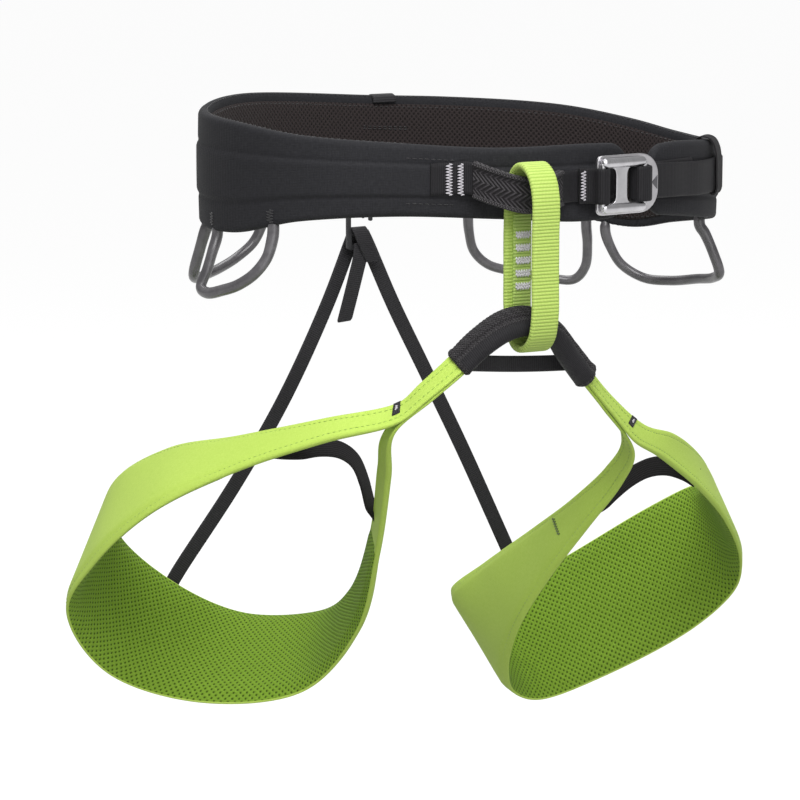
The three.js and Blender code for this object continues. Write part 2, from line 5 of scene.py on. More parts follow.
import bpy
import numpy as np
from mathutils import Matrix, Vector


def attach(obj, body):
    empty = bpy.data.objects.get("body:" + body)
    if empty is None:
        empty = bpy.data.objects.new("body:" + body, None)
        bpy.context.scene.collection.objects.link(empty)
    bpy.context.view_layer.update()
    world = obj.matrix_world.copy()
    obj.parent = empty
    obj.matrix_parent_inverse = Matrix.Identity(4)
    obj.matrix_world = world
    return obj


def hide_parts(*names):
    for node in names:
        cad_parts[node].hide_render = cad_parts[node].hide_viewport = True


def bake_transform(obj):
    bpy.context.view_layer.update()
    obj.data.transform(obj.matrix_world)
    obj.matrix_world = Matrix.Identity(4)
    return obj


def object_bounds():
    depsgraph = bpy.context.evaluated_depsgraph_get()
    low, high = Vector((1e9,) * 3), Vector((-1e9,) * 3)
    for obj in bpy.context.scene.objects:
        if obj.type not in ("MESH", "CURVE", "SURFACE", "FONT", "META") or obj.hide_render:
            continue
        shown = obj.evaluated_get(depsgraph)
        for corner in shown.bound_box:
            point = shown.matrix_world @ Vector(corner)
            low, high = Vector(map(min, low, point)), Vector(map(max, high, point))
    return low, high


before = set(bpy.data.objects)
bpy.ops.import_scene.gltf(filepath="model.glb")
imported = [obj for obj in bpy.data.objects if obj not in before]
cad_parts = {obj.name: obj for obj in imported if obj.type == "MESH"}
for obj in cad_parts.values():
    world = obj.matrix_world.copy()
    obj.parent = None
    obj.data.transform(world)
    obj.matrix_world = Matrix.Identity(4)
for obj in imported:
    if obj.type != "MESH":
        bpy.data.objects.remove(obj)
cad_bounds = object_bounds()

MM = 0.001
UP = np.array([0.0, 0.0, 1.0])
SIDEWAYS = np.array([1.0, 0.0, 0.0])
rng = np.random.default_rng(7)

# ---------------- driving dimensions, in millimetres

BELT_HALF_WIDTH = 159
BELT_HALF_DEPTH = 113
BELT_END_RADIUS = 12
# [angle, height of the centre line, height of the belt]
BELT_STATIONS = [
    [-66.5, 2, 40], [-57, 1, 43], [-40, -3, 46], [-10, -10, 50], [8, -12, 57], [24, -12, 68],
    [45, -5, 69], [72, 0, 69], [90, 3, 68], [130, 11, 66], [160, 8, 66], [190, 7, 63],
    [212, 9, 48], [235, 9, 41], [256, 6, 40], [275, 4, 44], [286.5, 4, 42],
]

BELAY_X = -32
BELAY_WIDTH = 17
BELAY_THICKNESS = 3.6
BELAY_ROUTE = [
    [-137, 18.5], [-147, 13.5], [-152, 2], [-152, -20], [-152, -44], [-152, -64], [-148.5, -76.5],
    [-140.5, -83], [-130.5, -82.5], [-123.5, -75], [-121.2, -62], [-121, -44], [-121, -16],
    [-123, 4], [-128.5, 14.5],
]

TIE_IN_WIDTH = 18
TIE_IN_ROUTE = [
    [241.5, 4.8, 9.5], [246, 4.8, 10], [249, 8, 9], [253, 17, 4], [258, 24, 0.5], [263.5, 20, 1],
    [267.5, 11, 2.5], [271, 5.4, 3], [275, 4.8, 3],
]
# how far the finished strap lies above the plain route, point by point
TIE_IN_LIFT = [0, 0, 1.5, 2.5, 1.5, 0.5, 0.5, 0, 0]

BRIDGE_WIDTH = 16
BRIDGE_CORE_WIDTH = 13
BRIDGE_SLEEVE_WIDTH = 21
CROSS_STRAP_WIDTH = 9.2
PLY_OFFSET = 1.05
# [middle of the webbing, direction across it from the knee side to the hip side]
BRIDGE_STATIONS = [
    [[-101, -118, -114], [0.2, 0.92, 0.32]], [[-91, -123, -106], [0.1, 0.93, 0.34]],
    [[-76.5, -129.5, -92], [0, 0.93, 0.38]], [[-63, -133, -79], [0, 0.88, 0.48]],
    [[-47, -135.5, -69.5], [0, 0.82, 0.57]], [[-32, -136.5, -68], [0, 0.8, 0.6]],
    [[-18.5, -135.5, -74.5], [0.12, 0.82, 0.55]], [[-6, -133, -88], [0.3, 0.82, 0.45]],
    [[7.5, -129.5, -102.5], [0.5, 0.8, 0.35]], [[26, -123, -120.5], [0.6, 0.75, 0.28]],
    [[45, -119, -136.5], [0.65, 0.7, 0.3]],
]
CROSS_STRAP_ENDS = [[-65, -122, -93], [12, -117, -99]]

# [point on the knee-side rim, point on the hip-side rim]
LEG_STATIONS = {
    "right": [
        [[-108, -121, -122], [-100, -109, -113]], [[-140, -93, -135], [-131, -78, -125]],
        [[-176, -57, -154], [-160, -29, -140]], [[-210, -16, -182], [-178, 29, -155]],
        [[-230, 22, -218], [-190, 76, -181]], [[-235, 50, -251], [-183, 98, -215]],
        [[-202, 66, -296], [-148, 99, -250]], [[-150, 51, -316], [-99, 95, -276]],
        [[-101, 16, -308], [-62, 70, -274]], [[-85, -26, -265], [-63, 21, -249]],
        [[-91, -65, -209], [-80, -38, -200]], [[-101, -98, -158], [-98, -81, -153]],
        [[-108, -118, -128], [-106, -102, -131]],
    ],
    "left": [
        [[48, -119, -145], [60, -108, -139]], [[78, -103, -163], [91, -90, -150]],
        [[117, -82, -188], [133, -53, -173]], [[153, -57, -216], [172, -6, -200]],
        [[184, -27, -250], [194, 36, -213]], [[193, -6, -274], [193, 47, -216]],
        [[178, 20, -303], [171, 65, -232]], [[127, 48, -335], [128, 98, -267]],
        [[90, 57, -346], [89, 117, -290]], [[67, 50, -337], [66, 115, -289]],
        [[51, 30, -314], [48.5, 99, -277.5]], [[41, 0, -281], [50, 59, -253]],
        [[43, -33, -243], [54, 5, -221]], [[50, -64, -208], [54, -42, -194]],
        [[57, -91, -177], [56, -76, -169]], [[51, -113, -154], [53, -97, -150]],
    ],
}
LEG_FACING = {"right": -1, "left": 1}
# how much wider a leg loop's outer branch is where both branches meet
JOINT_FLARE = {"right": 0.5, "left": 2.2}

# each elastic from one branch of its leg loop to the other, its ends tucked under the branches
ELASTIC_LIE = {
    "right": [
        [-160, -62, -146], [-151, -63, -145], [-137, -61, -144.5], [-122, -57, -145],
        [-108, -54, -148.5], [-98, -52, -156], [-92.5, -52, -168], [-89.5, -54, -182],
        [-86.5, -56, -191],
    ],
    "left": [
        [56, -45, -208], [60, -47, -203], [69, -49, -196], [78, -50, -189], [88, -53, -181.5],
        [97, -58, -176.5], [106, -63, -175.5], [115, -68, -178.5], [122, -71, -183],
    ],
}
# direction across each elastic at its two ends
ELASTIC_LEAN = {
    "right": [[0, 0.35, 0.93], [0.81, 0.57, 0.1]],
    "left": [[-0.5, 0.3, 0.8], [0.35, -0.1, 0.93]],
}
RISER_ROUTES = {
    "right": [
        [-10.5, 120, -50], [-13, 119.7, -55.5], [-31, 116, -92], [-64, 110.5, -148], [-99, 108, -198],
        [-138, 108, -249], [-149, 104, -262],
    ],
    "left": [
        [-5.8, 117.1, -49], [-2.4, 116.7, -56], [14, 114, -94], [36, 112, -138], [62, 110, -190],
        [95, 112, -256], [107, 117, -276], [116, 114, -292],
    ],
}
RISER_TAIL_ROUTE = [
    [-22, 110.4, -102.5], [-18, 110, -88], [-13.6, 109.8, -72], [-11, 109.8, -62], [-10, 110.2, -54],
]
RISER_WRAP_ROUTE = [
    [-2, 108.9, -66], [-5.8, 108.7, -59], [-9, 108.5, -52], [-10.6, 109.7, -47], [-10.8, 113, -44.9],
    [-10.9, 114.7, -45.9],
]
HOOK_X = -7.5
HOOK_Y = 113

# [angle on the belt, distance out from its middle surface, height]
GEAR_LOOP_ROUTES = {
    "gear_loop_right_front": [
        [179.5, 0, -28], [180.5, 4, -37], [181, 8, -47], [181, 12, -56.5], [185, 13, -59],
        [191, 12, -56], [196, 11, -52], [200.5, 9, -45], [203, 5, -36], [203.5, 1, -26],
        [203.5, 0, -22],
    ],
    "gear_loop_right_rear": [
        [121, 0, -27], [121.5, 3, -39], [123, 6, -48], [127, 10, -56], [133, 12, -61],
        [140, 12.5, -63], [146.5, 12, -62.5], [150, 10, -57], [151.5, 6, -45], [152.5, 2, -33],
        [152.5, 0, -27.5],
    ],
    "gear_loop_left_rear": [
        [67, 0, -41], [66.5, 3, -51], [65, 7, -64], [61.5, 9, -73], [55, 11, -78], [47, 12, -82],
        [41, 12, -82.5], [38, 9, -74], [37, 4, -58], [37, 0, -47],
    ],
    "gear_loop_left_front": [
        [31.5, 0, -50], [30.5, 4, -60], [28, 8, -71], [22, 11, -79], [14, 12.5, -79.5],
        [4, 13, -76], [-4, 13, -73], [-9, 12, -68], [-9.5, 8, -57], [-8, 3, -44], [-7.5, 0, -39],
    ],
}

# how far each gear loop runs up inside the belt
GEAR_TUCK = 9.0
GEAR_RADIUS = 3.3

BUCKLE_CENTRE = np.array([39.5, -121, 3])
BUCKLE_TURN = math.radians(6.5)
# [along the belt, out from it], in the buckle's own frame
ANCHOR_ROUTE = [
    [-31, -4.6], [-27.5, -4], [-25, -2], [-23.7, 1], [-23.6, 4.4], [-22, 6.3], [-18.8, 6.3],
    [-17, 4.4], [-17, 1], [-17.4, -1.4],
]
ADJUSTER_SEWN_END = [[-52, 4.4, 2.6], [-58, 4.4, 2.8], [-64, 5.2, 3]]
ADJUSTER_TURN = [
    [13.6, -6], [5, -3.4], [2.8, -0.6], [3.4, 3.4], [4.6, 6.2], [8.8, 6.9], [12.4, 5.6],
    [13.5, 2.4], [14, -0.8], [18, -2.6],
]
ADJUSTER_TAIL = [
    [-62, 8.4, 2], [-56, 6.8, 1], [-50, 6.4, 0], [-42, 6, -0.5], [-34, 6, -0.5], [-26, 5.6, -2],
    [-20, 5.2, -3],
]
KEEPER_ANGLE = -38.0
KEEPER_WIDTH = 12
KEEPER_ROUTE = [
    [4.1, -6], [4.1, -10.5], [6, -12.2], [8, -10.5], [8.3, 0], [8, 9.5], [6.8, 15.8], [4.2, 20.2],
    [0, 21.7], [-4, 20.4], [-5.8, 16], [-6.2, 11],
]
HAUL_ANGLE = 88
HAUL_WIDTH = 16
HAUL_ROUTE = [
    [-4.6, 34], [-4, 38.4], [0, 40.4], [4.5, 38], [11, 26], [13.5, 12], [12, -2], [7.5, -11],
    [4.6, -17], [4.4, -24],
]

# ---------------- camera, light and floor

CAMERA_AIM = Vector((-0.0433, -0.0034, -0.1325))
CAMERA_AZIMUTH = -28
CAMERA_ELEVATION = 10
CAMERA_DISTANCE = 2.0
CAMERA_LENS = 152.5
# name, azimuth, elevation, distance, size, power
LIGHTS = [
    ["key", -22, 55, 1.7, 1.2, 29],
    ["fill", -15, 14, 1.8, 1.2, 7.5],
    ["back", 165, 55, 1.7, 1.0, 10],
]
WORLD_LIGHT = 0.4
FLOOR_DROP = 0.09
FLOOR_RADIUS = 14.0
FLOOR_GREY = 0.22
FLOOR_GLOW = 0.88
BACKDROP_GLOW = 0.98


def stand(name, data, azimuth, elevation, distance):
    """Stands a camera or a light round the part, at angles in degrees, and turns it towards the part."""
    item = bpy.data.objects.new(name, data)
    bpy.context.collection.objects.link(item)
    turn, tilt = math.radians(azimuth), math.radians(elevation)
    flat = math.cos(tilt) * distance
    offset = Vector((math.sin(turn) * flat, -math.cos(turn) * flat, math.sin(tilt) * distance))
    item.location = CAMERA_AIM + offset
    item.rotation_euler = (-offset).to_track_quat("-Z", "Y").to_euler()
    return item


def camera():
    data = bpy.data.cameras.new("camera")
    data.lens = CAMERA_LENS
    data.sensor_width = 36
    data.clip_end = 50
    item = stand("camera", data, CAMERA_AZIMUTH, CAMERA_ELEVATION, CAMERA_DISTANCE)
    bpy.context.scene.camera = item


def studio():
    world = bpy.data.worlds.new("studio")
    bpy.context.scene.world = world
    world.use_nodes = True
    background = world.node_tree.nodes["Background"]
    background.inputs["Color"].default_value = (1, 1, 1, 1)
    background.inputs["Strength"].default_value = WORLD_LIGHT
    for name, azimuth, elevation, distance, size, power in LIGHTS:
        data = bpy.data.lights.new(name, "AREA")
        data.size = size
        data.energy = power
        stand(name, data, azimuth, elevation, distance)
    bpy.context.scene.view_settings.view_transform = "Standard"


def glowing(item, name, grey, glow):
    """Names a piece of the stage and paints it with an even glow that doesn't light the part."""
    item.name = name
    item.visible_diffuse = False
    paint = bpy.data.materials.new(name)
    paint.use_nodes = True
    shader = paint.node_tree.nodes["Principled BSDF"]
    shader.inputs["Base Color"].default_value = (grey, grey, grey, 1)
    shader.inputs["Roughness"].default_value = 0.95
    shader.inputs["Specular IOR Level"].default_value = 0.0
    shader.inputs["Emission Color"].default_value = (1, 1, 1, 1)
    shader.inputs["Emission Strength"].default_value = glow
    item.data.materials.append(paint)


def floor():
    """A flat, evenly lit pale floor. It glows faintly and lights nothing, so it stays even to its edge."""
    bpy.ops.mesh.primitive_circle_add(
        vertices=96, radius=FLOOR_RADIUS, fill_type="NGON",
        location=(0, 0, cad_bounds[0][2] - FLOOR_DROP),
    )
    item = bpy.context.object
    glowing(item, "floor", FLOOR_GREY, FLOOR_GLOW)


def backdrop():
    """A pale dome that stands on the floor's edge, so that every view has the same plain ground."""
    bpy.ops.mesh.primitive_uv_sphere_add(
        segments=96, ring_count=48, radius=FLOOR_RADIUS, location=(0, 0, cad_bounds[0][2] - FLOOR_DROP),
    )
    item = bpy.context.object
    glowing(item, "backdrop", 0.0, BACKDROP_GLOW)
    item.visible_glossy = False
    item.visible_shadow = False


camera()
studio()
floor()
backdrop()

# ---------------- curves and strips


def unit(v):
    return v / np.maximum(np.linalg.norm(v, axis=-1, keepdims=True), 1e-12)


def smoothstep(x, low, high):
    s = np.clip((x - low) / (high - low), 0, 1)
    return s * s * (3 - 2 * s)


def bump_at(x, centre, width):
    """A smooth hump of height 1 round a centre."""
    return np.exp(-(((x - centre) / width) ** 2))


def spline(points, steps, ring=False):
    """Centripetal Catmull-Rom curve, the same as the frame's, sampled at equal steps of its parameter."""
    p = np.array(points, float)
    count = len(p)
    out = []
    total = steps if ring else steps + 1
    for s in range(total):
        x = s / steps * (count if ring else count - 1)
        i = min(int(x), count - 1 if ring else count - 2)
        w = x - i
        if ring:
            p0, p1, p2, p3 = (p[(i + k) % count] for k in (-1, 0, 1, 2))
        else:
            p1, p2 = p[i], p[i + 1]
            p0 = p[i - 1] if i > 0 else 2 * p1 - p2
            p3 = p[i + 2] if i + 2 < count else 2 * p2 - p1
        d0, d1, d2 = (max(np.linalg.norm(b - a) ** 0.5, 1e-4) for a, b in ((p0, p1), (p1, p2), (p2, p3)))
        t1 = ((p1 - p0) / d0 - (p2 - p0) / (d0 + d1) + (p2 - p1) / d1) * d1
        t2 = ((p2 - p1) / d1 - (p3 - p1) / (d1 + d2) + (p3 - p2) / d2) * d1
        out.append(
            p1 + t1 * w + (-3 * p1 + 3 * p2 - 2 * t1 - t2) * w * w
            + (2 * p1 - 2 * p2 + t1 + t2) * w ** 3
        )
    return np.array(out)


def distance_along(points):
    """Length of a path up to each of its points."""
    return np.concatenate([[0], np.cumsum(np.linalg.norm(np.diff(points, axis=0), axis=1))])


def sampled(points, length, at):
    """Points of a path at given distances along it."""
    return np.stack([np.interp(at, length, points[:, k]) for k in range(3)], axis=1)


def evenly(rows, spacing, ring=False):
    """Rows of points, resampled so that their mean advances by about the given spacing."""
    rows = [np.asarray(r) for r in rows]
    if ring:
        rows = [np.vstack([r, r[:1]]) for r in rows]
    length = distance_along(sum(rows) / len(rows))
    count = max(int(round(length[-1] / spacing)), 8)
    at = np.linspace(0, length[-1], count + 1)
    if ring:
        at = at[:-1]
    return [sampled(r, length, at) for r in rows]


def strip_frames(low, high, side=1, ring=False):
    """Middle, unit across, unit normal and length so far at each cross-section of a strip."""
    middle = (low + high) / 2
    if ring:
        along = np.roll(middle, -1, 0) - np.roll(middle, 1, 0)
    else:
        along = np.gradient(middle, axis=0)
    across = unit(high - low)
    normal = unit(np.cross(along, high - low)) * side
    return middle, across, normal, distance_along(middle)


def new_piece(name, points, faces, uv, body, material, replaces=()):
    """A smooth mesh object from points in millimetres, with uv for each face corner.

    It rides on the body, has the material, and stands for the CAD nodes it replaces.
    """
    mesh = bpy.data.meshes.new(name)
    mesh.from_pydata((np.asarray(points) * MM).tolist(), [], faces)
    if uv is not None:
        layer = mesh.uv_layers.new(name="strap")
        layer.data.foreach_set("uv", np.asarray(uv, np.float32).ravel())
    mesh.validate()
    mesh.shade_smooth()
    item = bpy.data.objects.new(name, mesh)
    bpy.context.collection.objects.link(item)
    mesh.materials.append(material)
    if body:
        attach(item, body)
    if replaces:
        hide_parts(*replaces)
    return item


def band(name, low, high, profile, body, material, slot, side=1, ring=False, relief=None, replaces=()):
    """A strip with a detailed cross-section.

    profile(i, half width) gives the closed outline at cross-section i as [across, out] pairs: first
    one face from the low edge to the high edge, then as many points back along the other face.
    relief(along, across, face) moves the surface out by that much. uv holds millimetres.
    """
    middle, across, normal, length = strip_frames(low, high, side, ring)
    half = np.linalg.norm(high - low, axis=1) / 2
    outline = np.array([profile(i, h) for i, h in enumerate(half)])
    count, around = outline.shape[:2]
    a = outline[:, :, 0]
    out = outline[:, :, 1].copy()
    face = np.where(np.arange(around) < around // 2, -1.0, 1.0)[None, :]
    if relief:
        out += relief(length[:, None], a, face) * face
    points = middle[:, None] + across[:, None] * a[..., None] + normal[:, None] * out[..., None]
    steps = np.linalg.norm(np.diff(outline, axis=1), axis=2)
    v = np.concatenate([np.zeros((count, 1)), np.cumsum(steps, axis=1)], axis=1)
    mirror = around - 1 - np.arange(around)
    v = np.where(face < 0, v, v[:, mirror])
    v = v - v[:, around // 4: around // 4 + 1]
    total = length[-1] + (np.linalg.norm(middle[0] - middle[-1]) if ring else 0)
    faces = []
    uv = []
    spans = count if ring else count - 1
    for i in range(spans):
        n = (i + 1) % count
        u0 = length[i]
        u1 = length[n] if n else total
        for k in range(around):
            m = (k + 1) % around
            faces.append((i * around + k, i * around + m, n * around + m, n * around + k))
            uv += [(u0, v[i, k]), (u0, v[i, m]), (u1, v[n, m]), (u1, v[n, k])]
    if not ring:
        for i, flip in ((0, True), (count - 1, False)):
            for k in range(around // 2 - 1):
                corners = [k, k + 1, around - 2 - k, around - 1 - k]
                corners = corners[::-1] if flip else corners
                faces.append(tuple(i * around + c for c in corners))
                uv += [(length[i], v[i, c]) for c in corners]
    points = points.reshape(-1, 3)
    if facing(points, faces) < 0:
        faces, uv = turned_round(faces, uv)
    return new_piece(name, points, faces, uv, body, material, replaces)


def facing(points, faces):
    """Signed volume: negative if the faces point in."""
    p = np.asarray(points)
    quads = np.array([f for f in faces if len(f) == 4])
    a, b, c, d = (p[quads[:, k]] for k in range(4))
    first = np.einsum("ij,ij->i", a, np.cross(b, c)).sum()
    return first + np.einsum("ij,ij->i", a, np.cross(c, d)).sum()


def turned_round(faces, uv):
    """The same faces and uv, with each face's corners in the opposite order."""
    flipped = []
    at = 0
    for f in faces:
        flipped += uv[at:at + len(f)][::-1]
        at += len(f)
    return [f[::-1] for f in faces], flipped


def crowded(columns, power):
    """Shares from -1 to 1 across a strip, closer together towards its edges."""
    s = np.linspace(-1, 1, columns)
    return np.sign(s) * (1 - (1 - np.abs(s)) ** power)


def two_faces(x, lower, upper):
    """Closed outline: along x at the lower heights, and back at the upper ones."""
    lower, upper = np.broadcast_to(lower, x.shape), np.broadcast_to(upper, x.shape)
    return np.vstack([np.stack([x, lower], axis=1), np.stack([x, upper], axis=1)[::-1]])


def flat_outline(thickness, columns=12, offset=0.0):
    """Outline of plain webbing with rounded edges."""
    s = crowded(columns, 1.35)
    rounding = np.sqrt(np.clip(1 - np.clip((np.abs(s) - 0.9) / 0.1, 0, 1) ** 2, 0.06, 1))
    lift = thickness / 2 * (rounding + np.sqrt(np.clip(1 - s ** 20, 0.02, 1))) / 2
    return lambda i, half: two_faces(s * half, offset - lift, offset + lift)


def ribs(pitch, height):
    """Relief of crosswise ribs."""
    return lambda u, a, face: height * np.abs(np.sin(np.pi * u / pitch)) ** 0.7


def rows_of(middle, across, width):
    """The two edge rows of a strip from its middle and its direction across."""
    w = unit(np.asarray(across, float)) * width / 2
    return middle - w, middle + w


def webbing(name, route, steps, spacing, across, width, outline, body, material, slot, **options):
    """Plain webbing along a smooth route through the given points."""
    middle = evenly([spline(route, steps)], spacing)[0]
    low, high = rows_of(middle, across, width)
    return band(name, low, high, outline, body, material, slot, **options)


def transport(points, start=None):
    """Two unit directions square to a path at each point, turning as little as possible."""
    along = unit(np.gradient(points, axis=0))
    first = np.array(start if start is not None else (0, 0, 1), float)
    if abs(along[0] @ unit(first)) > 0.95:
        first = np.array((1.0, 0, 0))
    side = []
    current = unit(first - along[0] * (first @ along[0]))
    for t in along:
        current = unit(current - t * (current @ t))
        side.append(current)
    side = np.array(side)
    return side, np.cross(along, side)


def tube_mesh(points, radius, sides=12, flat=1.0, start=None):
    """Points, faces and uv of a tube along a path; flat squashes it along its first direction."""
    points = np.asarray(points, float)
    a, b = transport(points, start)
    length = distance_along(points)
    radius = np.broadcast_to(radius, (len(points),))
    turn = 2 * np.pi * np.arange(sides) / sides
    ring_a = np.cos(turn)[None, :, None] * a[:, None] * flat
    ring_b = np.sin(turn)[None, :, None] * b[:, None]
    body = points[:, None] + (ring_a + ring_b) * radius[:, None, None]
    verts = body.reshape(-1, 3)
    faces = []
    uv = []
    around = 2 * np.pi * radius.max()
    for i in range(len(points) - 1):
        for k in range(sides):
            m = (k + 1) % sides
            faces.append((i * sides + k, i * sides + m, (i + 1) * sides + m, (i + 1) * sides + k))
            v0, v1 = around * k / sides, around * (k + 1) / sides
            uv += [(length[i], v0), (length[i], v1), (length[i + 1], v1), (length[i + 1], v0)]
    last = (len(points) - 1) * sides
    faces.append(tuple(range(sides))[::-1])
    uv += [(0, 0)] * sides
    faces.append(tuple(range(last, last + sides)))
    uv += [(length[-1], 0)] * sides
    return verts, faces, uv


def joined_piece(name, parts, body, material, replaces=()):
    """One piece from the points, faces and uv of several meshes."""
    points, faces, uv = [], [], []
    base = 0
    for p, f, t in parts:
        points.append(p)
        faces += [tuple(i + base for i in face) for face in f]
        uv += list(t)
        base += len(p)
    return new_piece(name, np.vstack(points), faces, uv, body, material, replaces)


def stitches(path, normal, length, gap, radius):
    """Mesh of a row of lockstitches along a path: small rounded loaves, half sunk in the cloth."""
    path = np.asarray(path, float)
    normal = np.asarray(normal, float)
    at = distance_along(path)
    parts = []
    start = gap
    sink = 0.35 * radius
    shape = np.array([0.25, 0.8, 1.0, 1.0, 0.8, 0.25])
    while start + length < at[-1]:
        s = np.linspace(start, start + length, 6)
        p = sampled(path, at, s)
        n = unit(sampled(normal, at, s))
        arc = np.sin(np.linspace(0, np.pi, 6)) * radius * 0.7
        p = p + n * (arc - sink)[:, None]
        parts.append(tube_mesh(p, shape * radius, sides=6, start=n[0]))
        start += length + gap
    return parts


def zigzag(centre, along, across, normal, length, width, turns, radius):
    """Mesh of a bar tack: a thread that runs to and fro across a short line."""
    centre, along, across, normal = (np.asarray(v, float) for v in (centre, along, across, normal))
    count = turns * 6 + 1
    s = np.linspace(-0.5, 0.5, count)
    swing = np.arcsin(np.sin(np.linspace(0, turns * np.pi, count))) * 2 / np.pi
    lift = 0.25 * radius * np.cos(np.linspace(0, turns * 2 * np.pi, count))
    path = centre + along * (s * length)[:, None] + across * (swing * width / 2)[:, None]
    path = path + normal * (radius * 0.5 + lift)[:, None]
    return tube_mesh(path, radius, sides=6, start=normal)


# ---------------- places on the object


def beside_belt(angle, out, height):
    """Points beside the belt from angles in degrees, distances out and heights."""
    turn = np.radians(np.asarray(angle, float))
    base = np.stack([
        BELT_HALF_WIDTH * np.cos(turn),
        BELT_HALF_DEPTH * np.sin(turn),
        np.broadcast_to(height, turn.shape),
    ], axis=-1)
    return base + belt_normal(angle) * np.asarray(out, float)[..., None]


def belt_normal(angle):
    """Directions straight out from the belt, at angles in degrees."""
    turn = np.radians(np.asarray(angle, float))
    return unit(np.stack([
        np.cos(turn) / BELT_HALF_WIDTH, np.sin(turn) / BELT_HALF_DEPTH, np.zeros_like(turn)
    ], axis=-1))


def belt_table(angle):
    """Height of the belt's centre line and height of the belt, at angles in degrees."""
    dense = spline(BELT_STATIONS, 600)
    return np.interp(angle, dense[:, 0], dense[:, 1]), np.interp(angle, dense[:, 0], dense[:, 2])


def belt_rows(spacing):
    """Lower and upper edges of the belt, drawn in round its two ends, and its angles."""
    first, last = BELT_STATIONS[0][0], BELT_STATIONS[-1][0]
    dense = np.linspace(first, last, 2400)
    length = distance_along(beside_belt(dense, 0, 0))
    body = np.arange(spacing, length[-1] - spacing, spacing)
    ends = BELT_END_RADIUS * (1 - np.cos(np.radians(np.arange(4, 90, 8))))
    keep = body[(body > BELT_END_RADIUS) & (body < length[-1] - BELT_END_RADIUS)]
    at = np.concatenate([ends, keep, length[-1] - ends[::-1]])
    angle = np.interp(at, length, dense)
    centre, height = belt_table(angle)
    from_end = np.minimum(at, length[-1] - at)
    short = np.clip(BELT_END_RADIUS - from_end, 0, None)
    half = height / 2 - BELT_END_RADIUS + np.sqrt(BELT_END_RADIUS ** 2 - short ** 2)
    return beside_belt(angle, 0, centre - half), beside_belt(angle, 0, centre + half), angle


def at_buckle(along, out, height):
    """Points in the buckle's own frame: along the belt, out from it, and up."""
    along, out, height = (np.asarray(v, float) for v in (along, out, height))
    direction = np.array([math.cos(BUCKLE_TURN), math.sin(BUCKLE_TURN), 0])
    outwards = np.array([math.sin(BUCKLE_TURN), -math.cos(BUCKLE_TURN), 0])
    return (BUCKLE_CENTRE + along[..., None] * direction + out[..., None] * outwards
            + height[..., None] * UP)


def padding(t):
    """0 in the plain webbing branches of a leg loop, 1 in its padded part."""
    return smoothstep(t, 0.06, 0.3) * (1 - smoothstep(t, 0.72, 0.92))


def leg_half(t):
    """Half thickness of the foam in a leg loop."""
    return 0.35 + 0.85 * padding(t)


def leg_band(side, spacing):
    """Edge rows of a leg loop with both its arms up to the bridge sleeve, and its parameter.

    The parameter is 0 to 1 on the loop itself and runs below 0 and above 1 on the arms.
    """
    stations = np.array(LEG_STATIONS[side], float)
    bridge = [(np.array(p, float), unit(np.array(w, float))) for p, w in BRIDGE_STATIONS]
    picks = (3, 2, 1) if side == "right" else (7, 8, 9)
    arms = []
    for ply in (1, -1):
        rows = []
        for i in picks:
            middle, across = bridge[i]
            along = unit(bridge[i + 1][0] - bridge[i - 1][0])
            normal = unit(np.cross(along, across))
            centre = middle + normal * ply * PLY_OFFSET
            rows.append([centre - across * BRIDGE_WIDTH / 2, centre + across * BRIDGE_WIDTH / 2])
        arms.append(np.array(rows))
    every = np.concatenate([arms[0], stations, arms[1][::-1]])
    steps = 20 * (len(every) - 1)
    low, high = spline(every[:, 0], steps), spline(every[:, 1], steps)
    loop = len(stations) - 1
    t = (np.linspace(0, len(every) - 1, steps + 1) - len(picks)) / loop
    low = low - unit(high - low) * (JOINT_FLARE[side] * bump_at(t, 0.0, 0.03))[:, None]
    return evenly_tagged(low, high, t, spacing)


def evenly_tagged(low, high, tag, spacing):
    """Edge rows resampled at an even spacing, with a number carried along."""
    length = distance_along((low + high) / 2)
    at = np.linspace(0, length[-1], int(length[-1] / spacing) + 1)
    return sampled(low, length, at), sampled(high, length, at), np.interp(at, length, tag)


# ---------------- materials


def srgb(code):
    """Linear colour from a 0xRRGGBB code."""
    parts = [((code >> shift) & 255) / 255 for shift in (16, 8, 0)]
    return [c / 12.92 if c <= 0.04045 else ((c + 0.055) / 1.055) ** 2.4 for c in parts]


